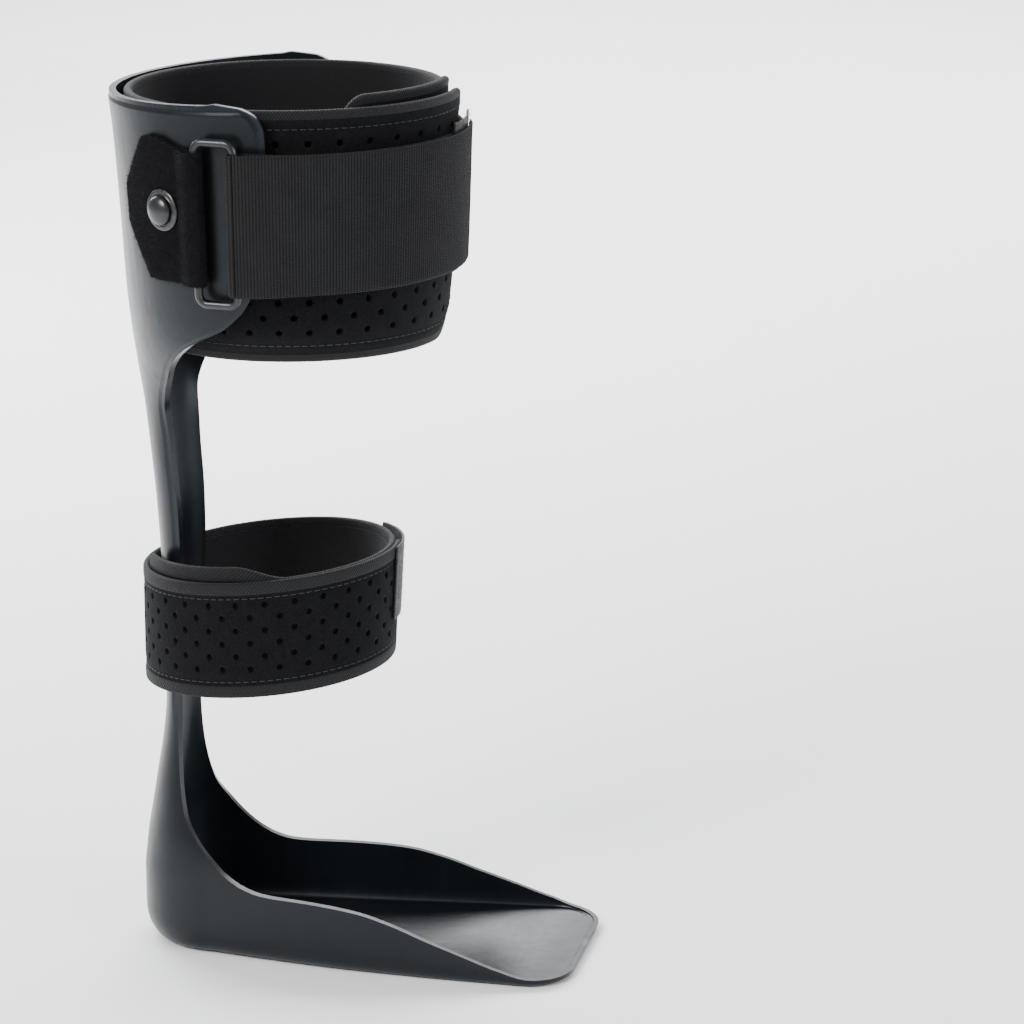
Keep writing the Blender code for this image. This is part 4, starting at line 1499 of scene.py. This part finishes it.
    def stitching(self, tool: NodeTool, lift: float) -> bpy.types.Object:
        """Sew the tape on: one row of stitches in the groove."""
        band = Band(self.place, self.scale)
        return band.stitches(self.name + "_stitching", self.stitch_lines(),
                             lambda b, z: self.outer_face(b, z) + lift, tool, 2.9)


def inflate(piece: bpy.types.Object, loose: Sequence[float], caps: Sequence[float]) -> None:
    """Puff a closed cloth with inner pressure, holding its seams, and keep the shape.

    Args:
        piece: closed mesh.
        loose: 1 for each vertex that is free to move, 0 for each that is held.
        caps: furthest that each vertex may move, in millimetres.
    """
    mesh = piece.data
    rest = np.array([v.co for v in mesh.vertices], float)
    normals = np.array([v.normal for v in mesh.vertices], float)
    limit = np.array(caps) * MM
    held = piece.vertex_groups.new(name="held")
    for i, free in enumerate(loose):
        held.add([i], 1.0 - free, "REPLACE")
    cloth = piece.modifiers.new("puff", "CLOTH")
    cloth.settings.quality = 5
    cloth.settings.mass = 0.25
    cloth.settings.tension_stiffness = cloth.settings.compression_stiffness = 12
    cloth.settings.bending_stiffness = 0.6
    cloth.settings.use_pressure = True
    cloth.settings.uniform_pressure_force = 4.0
    cloth.settings.vertex_group_mass = "held"
    cloth.settings.effector_weights.gravity = 0.0
    cloth.collision_settings.use_collision = False
    cloth.collision_settings.use_self_collision = False
    scene = bpy.context.scene
    for at in range(1, 21):
        scene.frame_set(at)
    graph = bpy.context.evaluated_depsgraph_get()
    moved = np.array([v.co for v in piece.evaluated_get(graph).data.vertices], float)
    piece.modifiers.remove(cloth)
    piece.vertex_groups.clear()
    scene.frame_set(1)
    shift = np.einsum("ij,ij->i", moved - rest, normals)
    shift = np.clip(shift, 0.0, None)
    shift = np.where(limit > 0, limit * np.tanh(shift / np.maximum(limit, 1e-9)), 0.0)
    mesh.vertices.foreach_set("co", (rest + normals * shift[:, None]).ravel())
    mesh.update()


# ----------------------------------------------------------------------------- pads

@dataclass
class CalfPad:
    """Foam wrap inside the cuff with its lining, binding and hook strips."""

    form: ShellForm
    low: float = 229.0
    high: float = 318.0
    foam: float = 3.4
    lining: float = 0.6
    start: float = -240.0
    end: float = 187.0
    scale: float = 1.14
    strap: tuple[float, float] = (255.3, 304.4)

    def layer(self, bearing: float) -> float:
        """Depth of the outer face: 0 on the outer turn, one layer in under its end."""
        return -(self.foam + self.lining + 0.6) * clamp((-105.0 - bearing) / 50.0)

    def place(self, bearing: float, height: float, depth: float) -> Point:
        """Point on the pad; the inner turn's end stands a little higher."""
        rise = 3.8 * ease((-158.0 - bearing) / 22.0) * (height - self.low) / (self.high - self.low)
        x, y, z = self.form.pad(bearing, height, depth)
        return (x, y, z + rise)

    def cap(self, bearing: float, height: float) -> float:
        """How far the foam may swell: least behind the shell and under the strap."""
        if bearing < -158.0:
            return 0.0
        _, edge, _, _ = self.form.level(height)
        x = self.place(bearing, height, 0.0)[0]
        covered = 1.0 - ease((x - edge) / 9.0)
        strapped = ease((height - self.strap[0] + 5.0) / 6.0) * ease(
            (self.strap[1] + 5.0 - height) / 6.0)
        return blend(1.7, 0.25, max(covered, strapped))

    def band(self) -> PaddedBand:
        """The pad's foam band."""
        return PaddedBand("calf_pad_foam", self.place, self.layer, self.start, self.end,
                          self.low, self.high, self.foam, 5.2, (12.0, 20.0, 9.0, 12.0), Body.CALF,
                          self.scale, self.cap, (-166.0, 180.0))

    def build(self, looks: Looks, tools: Tools) -> None:
        """Build the pad and put its pieces on the calf section.

        Args:
            looks: the finishes.
            tools: the node trees.
        """
        band = self.band()
        foam = band.build(looks.foam, tools.perforate)
        finish_piece(foam, Body.CALF, Slot.FOAM, "calf_pad")
        binding = band.binding(looks.tape, 3.0, 2.15, 0.55)
        finish_piece(binding, Body.CALF, Slot.TAPE, "calf_pad_binding")
        finish_piece(band.stitching(tools.stitch, 0.1), Body.CALF, Slot.TAPE)
        bearings = [u / self.scale for u in spaced((self.start + 2.0) * self.scale,
                                                   (self.end - 2.0) * self.scale, 4.0)]
        heights = spaced(self.low + 2.4, self.high - 2.4, 5.0)
        lining = Band(band.seat, self.scale).solid(
            "calf_pad_inner", bearings, heights,
            lambda b, z: band.inner_face(b, z) - 0.12 - self.lining / 2,
            lambda b, z: self.lining, looks.lining)
        (self.high - self.low - 4.8) * MM
        (self.end - self.start - 4.0) * self.scale * MM
        finish_piece(lining, Body.CALF, Slot.LINING, "calf_pad_lining")
        for name in ("pad_hook_strip_lower", "pad_hook_strip_upper"):
            dress(name, looks.hook)


@dataclass
class AnkleWrap:
    """Perforated wrap round the strut and the ankle, its free end closed at the front."""

    form: WrapForm
    foam: float = 2.0
    lining: float = 0.5
    seam: float = -62.0
    outer_end: float = 196.0
    inner_end: float = -344.0
    scale: float = 0.81
    binding_thick: float = 2.1
    bend: tuple[Point, Point] = ((-0.006, -0.0447, 0.127), (0.002, -0.0447, 0.127))

    def layer(self, bearing: float) -> float:
        """Depth of the outer face: 0 on the outer turn, one layer in under its end."""
        return -(self.foam + 0.3) * clamp((-110.0 - bearing) / 45.0)

    def place(self, bearing: float, height: float, depth: float) -> Point:
        """Point on the wrap; the inner turn stands higher from the side to the rear."""
        rise = 5.2 * ease((-250.0 - bearing) / 26.0)
        x, y, z = self.form.place(bearing, height, depth)
        part = clamp((height - self.form.low) / (self.form.high - self.form.low))
        return (x, y, z + rise * part)

    def cap(self, bearing: float, height: float) -> float:
        """How far the foam may swell: nothing under the outer turn."""
        return 0.0 if bearing < -105.0 or bearing > 168.0 else 0.9

    def turn(self, name: str, start: float, end: float,
             radii: tuple[float, float, float, float], body: Body,
             holes: tuple[float, float]) -> PaddedBand:
        """One length of the wrap, open at its end on the seam."""
        return OpenBand(name, self.place, self.layer, start, end, self.form.low, self.form.high,
                        self.foam, 4.6, radii, body, self.scale, self.cap, holes,
                        column_pitch=10.4, row_pitch=9.6, hole_radius=1.25, pinch=0.55,
                        bound_ends=False, open_end=end == self.seam)

    def build(self, looks: Looks, tools: Tools) -> None:
        """Build the wrap, its flap and its hook tab.

        Args:
            looks: the finishes.
            tools: the node trees.
        """
        under = self.turn("ankle_pad_foam", self.inner_end, self.seam, (7.0, 1.5, 1.5, 7.0),
                          Body.CALF, (-150.0, self.seam - 4.0))
        outer = self.turn("ankle_flap_foam", self.seam, self.outer_end, (1.5, 9.0, 9.0, 1.5),
                          Body.FLAP, (self.seam + 4.0, 192.0))
        for band, foams, tapes, bend in (
                (under, ("ankle_pad",), ("ankle_pad_binding",), None),
                (outer, ("ankle_flap",), ("ankle_flap_binding",), self.bend)):
            foam = band.build(looks.foam, tools.perforate)
            finish_piece(foam, band.body, Slot.FOAM, *foams, bend=bend)
            binding = band.binding(looks.tape, self.binding_thick, self.foam / 2 + 0.02, 0.34)
            finish_piece(binding, band.body, Slot.TAPE, *tapes, bend=bend)
            finish_piece(band.stitching(tools.stitch, 0.1), band.body, Slot.TAPE, bend=bend)
        place = Band(self.form.place, self.scale)
        bearings = spaced(-318.0, -42.0, 4.0)
        heights = spaced(self.form.low + 3.0, self.form.high - 3.0, 6.0)
        lining = place.solid("ankle_pad_inner", bearings, heights,
                             lambda b, z: self.layer(b) - self.foam - 0.3 - self.lining / 2,
                             lambda b, z: self.lining, looks.lining)
        (heights[-1] - heights[0]) * MM
        finish_piece(lining, Body.CALF, Slot.LINING, "ankle_pad_lining")
        hook = place.solid("ankle_front_hook_tab", spaced(172.0, 222.0, 2.0),
                           spaced(120.0, self.form.high, 2.0), lambda b, z: 0.75,
                           lambda b, z: 0.9, looks.hook)
        round_edges(hook, 0.25, 2)
        finish_piece(hook, Body.FLAP, Slot.HOOK, "ankle_hook_tab")
        finish_piece(fuzz(hook, "ankle_hook_tab_fibres", tools.fibres, 0.25), Body.FLAP,
                     Slot.HOOK)
        dress("strut_hook_patch", looks.hook)


@dataclass
class OpenBand(PaddedBand):
    """Band that carries tape on three sides; the fourth meets its neighbour."""

    open_end: bool = True

    def edge_away(self, bearing: float, height: float) -> float:
        """Distance to the nearest taped edge."""
        ends = (bearing - self.start if self.open_end else self.end - bearing) * self.scale
        return min(height - self.low, self.high - height, ends)

    def stations(self, low: float, high: float, pitch: float, bound: bool
                 ) -> tuple[list[float], list[bool]]:
        """Grid lines; across the length only the taped end has its finer lines."""
        lines, plain = super().stations(low, high, pitch, True)
        if bound:
            return lines, plain
        edge = plain.index(True)
        if self.open_end:
            kept, marks = lines[:-edge], plain[:-edge]
            return kept + [high - 4.0, high], marks + [False, False]
        kept, marks = lines[edge:], plain[edge:]
        return [low, low + 4.0] + kept, [False, False] + marks

    def open_path(self, path: list[tuple[float, float]]) -> list[tuple[float, float]]:
        """The edge path, cut open at the end without tape."""
        limit = (self.end if self.open_end else self.start) * self.scale
        inside = [abs(u - limit) > 1.0 for u, _ in path]
        first = next(i for i in range(len(path)) if inside[i] and not inside[i - 1])
        turned = path[first:] + path[:first]
        kept = [point for point in turned if abs(point[0] - limit) > 1.0]
        return [(limit, kept[0][1])] + kept + [(limit, kept[-1][1])]

    def stitch_lines(self) -> list[list[tuple[float, float]]]:
        """Stitch lines inside the tape, open at the end without tape."""
        inset = self.tape_width + 1.3
        near, far = self.start * self.scale, self.end * self.scale
        low, high = self.low + inset, self.high - inset
        if self.open_end:
            turn, limit = near + inset, far
        else:
            turn, limit = far - inset, near
        line = [(u, low) for u in spaced(limit, turn, 1.5)]
        line += [(turn, v) for v in spaced(low, high, 1.5)[1:]]
        line += [(u, high) for u in spaced(turn, limit, 1.5)[1:]]
        return [line]


def dress(node: str, look: bpy.types.Material) -> None:
    """Give a CAD node its finish."""
    mesh = bpy.data.objects[node].data
    for slot in range(max(1, len(mesh.materials))):
        if slot < len(mesh.materials):
            mesh.materials[slot] = look
        else:
            mesh.materials.append(look)


def fuzz(source: bpy.types.Object, name: str, tool: NodeTool, density: float
         ) -> bpy.types.Object:
    """Loose fibres over a piece.

    Args:
        source: the piece, which is left as it is.
        name: name of the fibres.
        tool: the fibre tree.
        density: fibres for each square millimetre.

    Returns:
        The fibres as one mesh.
    """
    holder = bpy.data.objects.new(name + "_base", source.data.copy())
    bpy.context.scene.collection.objects.link(holder)
    return mesh_through(holder, name, tool, {"Density": density * 1e6})


# ------------------------------------------------------------- strap, ring and rivets

@dataclass
class StrapRing:
    """Rectangular ring of round wire that the strap folds round."""

    form: ShellForm
    front_bar: float = 86.2
    rear_bar: float = 73.2
    low: float = 250.4
    high: float = 309.4
    wire: float = 3.0
    corner: float = 3.4
    depth: float = 4.2

    def axes(self) -> tuple[Vector, Vector, Vector]:
        """Centre, direction along the cuff and upward direction of the flat ring."""
        bearing, middle = (self.front_bar + self.rear_bar) / 2, (self.low + self.high) / 2
        at = self.form.cuff
        along = Vector(at(bearing + 3, middle, 0)) - Vector(at(bearing - 3, middle, 0))
        up = Vector(at(bearing, self.high, 0)) - Vector(at(bearing, self.low, 0))
        return Vector(at(bearing, middle, self.depth - 0.45)), along.normalized(), up.normalized()

    def build(self, looks: Looks) -> None:
        """Sweep the wire round the ring.

        Args:
            looks: the finishes.
        """
        centre, along, up = self.axes()
        out = along.cross(up)
        middle = (self.low + self.high) / 2
        bars = (Vector(self.form.cuff(self.front_bar, middle, self.depth))
                - Vector(self.form.cuff(self.rear_bar, middle, self.depth))).length / 2
        tall = (self.high - self.low - self.wire) / 2
        path, normals = [], []
        for quarter, (sx, sz) in enumerate(((1, 1), (-1, 1), (-1, -1), (1, -1))):
            for i in range(11):
                turn = pi / 2 * (quarter + i / 10)
                away = along * cos(turn) + up * sin(turn)
                path.append(centre + along * (sx * (bars - self.corner))
                            + up * (sz * (tall - self.corner)) + away * self.corner)
                normals.append(away)
            after = ((-1, 1), (-1, -1), (1, -1), (1, 1))[quarter]
            target = (centre + along * (after[0] * (bars - self.corner))
                      + up * (after[1] * (tall - self.corner)) + away * self.corner)
            for i in range(1, 6):
                path.append(path[-1] + (target - path[-1]) / (7 - i))
                normals.append(away)
        bm = bmesh.new()
        sides, radius = 18, self.wire / 2
        rings = [[bm.verts.new((p + (n * cos(2 * pi * k / sides) + out * sin(2 * pi * k / sides))
                                * radius) * MM) for k in range(sides)]
                 for p, n in zip(path, normals)]
        for here, following in zip(rings, rings[1:] + rings[:1]):
            for k in range(sides):
                n = (k + 1) % sides
                bm.faces.new([here[k], following[k], following[n], here[n]])
        bmesh.ops.recalc_face_normals(bm, faces=bm.faces)
        finish_piece(piece_from(bm, "strap_ring_wire", looks.gloss), Body.CALF, Slot.RING,
                     "strap_ring")


@dataclass
class RingTab:
    """Loop-fabric tab folded round the ring's rear bar and riveted to the shell."""

    form: ShellForm
    ring: StrapRing
    low: float = 258.0
    high: float = 307.5
    thick: float = 1.1
    rear: float = 41.0
    gap: float = 0.3
    scale: float = 1.14

    def limit(self, bearing: float, full: float, sign: int) -> float:
        """Upper or lower edge, cut back in straight chamfers towards the rear."""
        along = (bearing - self.rear) * self.scale
        return full - sign * (max(0.0, 15.0 - along * 1.25) + max(0.0, 2.5 - along * 0.2))

    def centre_line(self) -> Line:
        """Middle of the folded tab as (bearing, depth), from under the rivet to over it."""
        under = self.gap + self.thick / 2 + 0.05
        over = under + self.thick + self.gap
        radius = self.ring.wire / 2 + self.gap + self.thick / 2 + 0.1
        bar, top = self.ring.rear_bar, self.ring.depth + radius
        line = [(b, blend(under, self.ring.depth - radius, ease((b - bar + 6.0) / 6.0)))
                for b in spaced(self.rear, bar - 1.0, 0.9)]
        line += [(bar + radius * sin(pi * i / 16) / self.scale,
                  self.ring.depth - radius * cos(pi * i / 16)) for i in range(17)]
        line += [(b, blend(top, over, ease((bar - 1.0 - b) / 7.4)))
                 for b in spaced(bar - 1.0, self.rear, 0.9)]
        return line

    def build(self, looks: Looks, tools: Tools) -> None:
        """Build the tab with a ragged cut edge and loose fibres.

        Args:
            looks: the finishes.
            tools: the node trees.
        """
        line, rows = self.centre_line(), 46
        chance = np.random.default_rng(SEED)
        centre = np.array([(b * self.scale, d) for b, d in line])
        ahead = np.gradient(centre, axis=0)
        ahead /= np.hypot(ahead[:, 0], ahead[:, 1])[:, None]
        side = np.stack([-ahead[:, 1], ahead[:, 0]], axis=1) * self.thick / 2
        ragged = chance.normal(0.0, 0.16, (2, len(line)))
        outer, inner = [], []
        for k in range(rows):
            part = k / (rows - 1)
            for i, (bearing, _) in enumerate(line):
                neck = 3.2 * clamp((bearing - 58.0) / 8.0)
                low = self.limit(bearing, self.low, -1) + ragged[0, i]
                high = self.limit(bearing, self.high, 1) - neck + ragged[1, i]
                z = blend(low, high, part)
                pinch = 0.55 + 0.45 * ease(min(part, 1 - part) * rows / 2.2)
                for sheet, sign in ((outer, pinch), (inner, -pinch)):
                    u, d = centre[i] + sign * side[i]
                    sheet.append(self.form.cuff(u / self.scale, z, d))
        bm = close_sheet(outer, inner, grid_faces(rows, len(line)))
        tab = piece_from(bm, "ring_tab_fabric", looks.foam, 70.0)
        finish_piece(tab, Body.CALF, Slot.FOAM, "ring_tab")
        finish_piece(fuzz(tab, "ring_tab_fibres", tools.fibres, 5.5), Body.CALF, Slot.FOAM)


@dataclass
class CalfStrap:
    """Ribbed elastic band from the medial rivet through the ring and back on itself."""

    form: ShellForm
    ring: StrapRing
    low: float = 255.3
    high: float = 304.4
    thick: float = 1.4
    seat: float = 0.6
    hook: float = 0.6
    gap: float = 0.3
    medial_end: float = -50.0
    tail_end: float = 193.0
    rib_pitch: float = 1.1
    rib_depth: float = 0.17
    scale: float = 1.14

    def fold_radius(self) -> float:
        """Radius of the fold's middle round the ring's wire."""
        return self.ring.wire / 2 + self.gap + self.thick / 2 + 0.2

    def tail_depth(self, bearing: float) -> float:
        """Middle of the folded-back layer: over the ring bar, then against the strap."""
        over = self.ring.depth + self.fold_radius()
        resting = self.seat + 1.5 * self.thick + 2 * self.gap + self.hook
        return blend(over, resting, ease((bearing - self.ring.front_bar) / 26.0))

    def ribbed(self, name: str, line: Line, body: Body, looks: Looks, waist: float,
               *nodes: str) -> bpy.types.Object:
        """A length of elastic with real ribs across it.

        Args:
            name: the piece's name.
            line: middle of the band as (bearing, depth).
            body: body that carries it.
            looks: the finishes.
            waist: how far tension draws the long edges in.
            nodes: CAD nodes that it replaces.

        Returns:
            The band.
        """
        centre = np.array([(b * self.scale, d) for b, d in line])
        run = np.concatenate([[0], np.cumsum(np.hypot(*np.diff(centre, axis=0).T))])
        count = int(run[-1] / self.rib_pitch * 3)
        at = np.linspace(0, run[-1], count)
        smooth = np.stack([np.interp(at, run, centre[:, k]) for k in (0, 1)], axis=1)
        ahead = np.gradient(smooth, axis=0)
        ahead /= np.hypot(ahead[:, 0], ahead[:, 1])[:, None]
        side = np.stack([-ahead[:, 1], ahead[:, 0]], axis=1)
        height = self.high - self.low
        rows = [0.0, 0.25, 0.9] + spaced(2.2, height - 2.2, 4.6) + [height - 0.9, height - 0.25,
                                                                    height]
        outer, inner = [], []
        for v in rows:
            edge = min(v, height - v)
            round_off = 0.35 + 0.65 * ease(edge / 0.9)
            for i in range(count):
                pull = waist * ease(min(at[i], run[-1] - at[i]) / 30.0)
                z = self.low + pull + v * (height - 2 * pull) / height
                rib = (0.5 + 0.5 * cos(2 * pi * at[i] / self.rib_pitch)) * self.rib_depth
                swell = (self.thick / 2 - self.rib_depth + rib) * round_off
                for sheet, sign in ((outer, 1), (inner, -1)):
                    u, d = smooth[i] + sign * swell * side[i]
                    sheet.append(self.form.cuff(u / self.scale, z, d))
        bm = close_sheet(outer, inner, grid_faces(len(rows), count))
        bm.verts.ensure_lookup_table()
        uv = bm.loops.layers.uv.new("cloth")
        total = len(outer)
        spot = {v: (at[(i % total) % count] * 0.1, rows[(i % total) // count] * 0.1)
                for i, v in enumerate(bm.verts)}
        for face in bm.faces:
            for loop in face.loops:
                loop[uv].uv = spot[loop.vert]
        piece = piece_from(bm, name, looks.elastic, 70.0)
        height * MM
        finish_piece(piece, body, Slot.ELASTIC, *nodes)
        return piece

    def build(self, looks: Looks, tools: Tools) -> None:
        """Build the band, its folded-back tail and the hook tab under its end.

        Args:
            looks: the finishes.
            tools: the node trees.
        """
        bar, radius = self.ring.front_bar - 360.0, self.fold_radius()
        rest = self.seat + self.thick / 2
        line = [(b, blend(self.ring.depth - radius, rest, ease((b - bar - 0.5) / 7.0)))
                for b in spaced(self.medial_end, bar, 2.0)]
        line += [(bar - radius * sin(pi * i / 20) / self.scale,
                  self.ring.depth - radius * cos(pi * i / 20)) for i in range(1, 21)]
        self.ribbed("calf_strap_band", line, Body.CALF, looks, 0.5, "calf_strap")
        tail = [(b, self.tail_depth(b)) for b in spaced(self.ring.front_bar + 0.25, self.tail_end,
                                                        2.0)]
        self.ribbed("calf_strap_tail_band", tail, Body.TAIL, looks, 0.35, "calf_strap_tail")
        depth = self.seat + self.thick + self.gap + self.hook / 2
        hook = Band(self.form.cuff, self.scale).solid(
            "calf_strap_hook_end", spaced(168.0, self.tail_end + 2.0, 1.0),
            spaced(self.low - 0.8, self.high + 3.2, 1.5), lambda b, z: depth,
            lambda b, z: self.hook, looks.hook)
        finish_piece(hook, Body.TAIL, Slot.HOOK, "calf_strap_hook_tab")
        finish_piece(fuzz(hook, "calf_strap_hook_fibres", tools.fibres, 0.6), Body.TAIL,
                     Slot.HOOK)


@dataclass
class Rivet:
    """Domed rivet with its washer outside the shell and its flange inside."""

    form: ShellForm
    side: Side
    stack: float
    bearing: float = 60.0
    height: float = 283.0
    shank: float = 2.2
    dome: float = 5.2
    flange: float = 7.2
    gap: float = 0.3
    steps: int = 56

    def frame(self) -> Matrix:
        """Place and turn of the rivet; its Z points out of the shell."""
        bearing, at = self.bearing * -self.side.value, self.form.cuff
        origin = Vector(at(bearing, self.height, 0.0))
        along = Vector(at(bearing + 2, self.height, 0)) - Vector(at(bearing - 2, self.height, 0))
        up = Vector(at(bearing, self.height + 4, 0)) - Vector(at(bearing, self.height - 4, 0))
        out = along.cross(up).normalized()
        if out.dot(origin) < 0:
            out = -out
        return Matrix.Translation(origin * MM) @ out.to_track_quat("Z", "Y").to_matrix().to_4x4()

    def turned(self, name: str, profile: Line, look: bpy.types.Material) -> bpy.types.Object:
        """Solid of revolution about the rivet's axis.

        Args:
            name: the piece's name.
            profile: (radius, height) points; closed if it starts off the axis.
            look: material.

        Returns:
            The solid.
        """
        bm = bmesh.new()
        ring = [bm.verts.new((r * MM, 0, z * MM)) for r, z in profile]
        edges = [bm.edges.new(pair) for pair in zip(ring, ring[1:])]
        if profile[0][0] > 0:
            edges.append(bm.edges.new((ring[-1], ring[0])))
        bmesh.ops.spin(bm, geom=ring + edges, cent=(0, 0, 0), axis=(0, 0, 1), angle=2 * pi,
                       steps=self.steps)
        bmesh.ops.remove_doubles(bm, verts=bm.verts, dist=1e-6)
        bmesh.ops.recalc_face_normals(bm, faces=bm.faces)
        bm.transform(self.frame())
        return piece_from(bm, name, look, 35.0)

    def build(self, looks: Looks) -> None:
        """Build the head with its shank and the washer, and give the CAD flange its finish.

        Args:
            looks: the finishes.
        """
        word = self.side.name.lower()
        seat = self.stack + self.gap
        washer, inside = seat + 0.8, -self.form.wall - self.gap - 0.2
        dome, ring, rim = washer + self.gap, self.shank + self.gap, self.flange
        crown = [(self.dome * cos(pi / 2 * i / 14), dome + 0.5 + 2.4 * sin(pi / 2 * i / 14))
                 for i in range(14)]
        head = [(0.0, inside - 0.8), (self.shank, inside - 0.8), (self.shank, dome),
                (self.dome - 0.25, dome), (self.dome, dome + 0.2)] + crown + [(0.0, dome + 2.9)]
        finish_piece(self.turned(f"{word}_rivet_dome", head, looks.rivet), Body.CALF, Slot.RIVET,
                     f"{word}_rivet_head")
        plate = [(ring, seat), (rim - 0.2, seat), (rim, seat + 0.15), (rim, seat + 0.45),
                 (rim - 0.25, washer - 0.1), (rim - 0.7, washer), (self.dome + 0.5, washer),
                 (self.dome + 0.3, washer - 0.15), (self.dome + 0.1, washer), (ring, washer)]
        finish_piece(self.turned(f"{word}_rivet_plate", plate, looks.worn_rivet), Body.CALF,
                     Slot.RIVET, f"{word}_rivet_washer")
        dress(f"{word}_rivet_flange", looks.worn_rivet)


# --------------------------------------------------------------------- looks and stage

@dataclass
class Looks:
    """The finishes, built once."""

    shell: bpy.types.Material
    gloss: bpy.types.Material
    foam: bpy.types.Material
    lining: bpy.types.Material
    tape: bpy.types.Material
    elastic: bpy.types.Material
    hook: bpy.types.Material
    rivet: bpy.types.Material
    worn_rivet: bpy.types.Material
    thread: bpy.types.Material

    @classmethod
    def make(cls) -> Looks:
        """Build every finish."""
        return cls(MouldedPlastic().material(), GlossPlastic().material(), LoopFoam().material(),
                   KnitLining().material(), TwillTape().material(), RibbedElastic().material(),
                   HookFabric().material(), PaintedRivet(wear=-0.55).material(),
                   PaintedRivet(wear=0.1).material(), SewingThread().material())


@dataclass
class Tools:
    """The Geometry Nodes trees, built once."""

    perforate: NodeTool
    stitch: NodeTool
    fibres: NodeTool

    @classmethod
    def make(cls, looks: Looks) -> Tools:
        """Build every tree."""
        return cls(perforation_tool(looks.foam), stitch_tool(looks.thread),
                   fibre_tool(looks.foam))


@dataclass
class Studio:
    """Pale floor and backdrop, soft lights and the camera."""

    eye: Point = (0.2768, -1.3199, 0.5203)
    aim: Point = (0.0797, -0.0008, 0.1651)
    lens: float = 135.0
    floor_grey: float = 0.94

    def floor(self) -> None:
        """A wide plain floor that stays level."""
        bm = bmesh.new()
        bmesh.ops.create_grid(bm, x_segments=8, y_segments=8, size=6.0)
        bm.transform(Matrix.Translation((0, 0, -0.0004)))
        shader = Shader("studio_floor")
        cloud = shader.noise(260.0, 2.0)
        grey = self.floor_grey
        colour = shader.colour(cloud, (grey * 0.97,) * 3, (grey, grey, grey * 1.01))
        look = shader.finish(colour, 0.55 + cloud * 0.1, shader.noise(2.0, 2.0), 0.02)
        piece_from(bm, "studio_floor", look)

    def light(self, name: str, place: Point, size: float, power: float, tint: Point,
              at: Point = (0.0, 0.0, 0.16)) -> None:
        """A square soft light.

        Args:
            name: its name.
            place: its place.
            size: its side.
            power: its power in watts.
            tint: its colour.
            at: the point that it faces.
        """
        lamp = bpy.data.lights.new(name, "AREA")
        lamp.size, lamp.energy, lamp.color = size, power, tint
        made = bpy.data.objects.new(name, lamp)
        bpy.context.scene.collection.objects.link(made)
        made.location = place
        aim = Vector(at) - Vector(place)
        made.rotation_euler = aim.to_track_quat("-Z", "Y").to_euler()

    def camera(self) -> None:
        """The camera."""
        lens = bpy.data.cameras.new("camera")
        lens.lens, lens.sensor_width = self.lens, 36.0
        made = bpy.data.objects.new("camera", lens)
        bpy.context.scene.collection.objects.link(made)
        made.location = self.eye
        aim = Vector(self.aim) - Vector(self.eye)
        made.rotation_euler = aim.to_track_quat("-Z", "Y").to_euler()
        bpy.context.scene.camera = made

    def build(self) -> None:
        """Build the stage."""
        self.floor()
        self.camera()
        world = bpy.data.worlds.new("studio")
        world.use_nodes = True
        sky = world.node_tree.nodes["Background"]
        sky.inputs[0].default_value, sky.inputs[1].default_value = (0.95, 0.97, 1.0, 1.0), 0.6
        bpy.context.scene.world = world
        self.light("key", (-0.9, -1.3, 1.3), 0.8, 42.0, (1.0, 0.99, 0.97))
        self.light("fill", (1.5, -0.8, 0.7), 1.0, 18.0, (0.93, 0.96, 1.0))
        self.light("rim", (-0.9, 1.0, 0.9), 0.8, 30.0, (0.92, 0.96, 1.0))
        self.light("wash", (-0.1, 2.2, 1.5), 2.2, 130.0, (1.0, 1.0, 1.0), (-0.1, 2.1, 0.0))


def main() -> None:
    """Build the whole brace."""
    logging.basicConfig(level=logging.INFO, format="%(message)s")
    Studio().build()
    looks = Looks.make()
    tools = Tools.make(looks)
    form = ShellForm()
    MouldedShell(form).build(looks.shell)
    CalfPad(form).build(looks, tools)
    ring = StrapRing(form)
    ring.build(looks)
    tab = RingTab(form, ring)
    tab.build(looks, tools)
    strap = CalfStrap(form, ring)
    strap.build(looks, tools)
    Rivet(form, Side.LATERAL, 2 * tab.thick + 2 * tab.gap + 0.1).build(looks)
    Rivet(form, Side.MEDIAL, strap.seat + strap.thick).build(looks)
    AnkleWrap(WrapForm()).build(looks, tools)


if __name__ == "__main__":
    main()
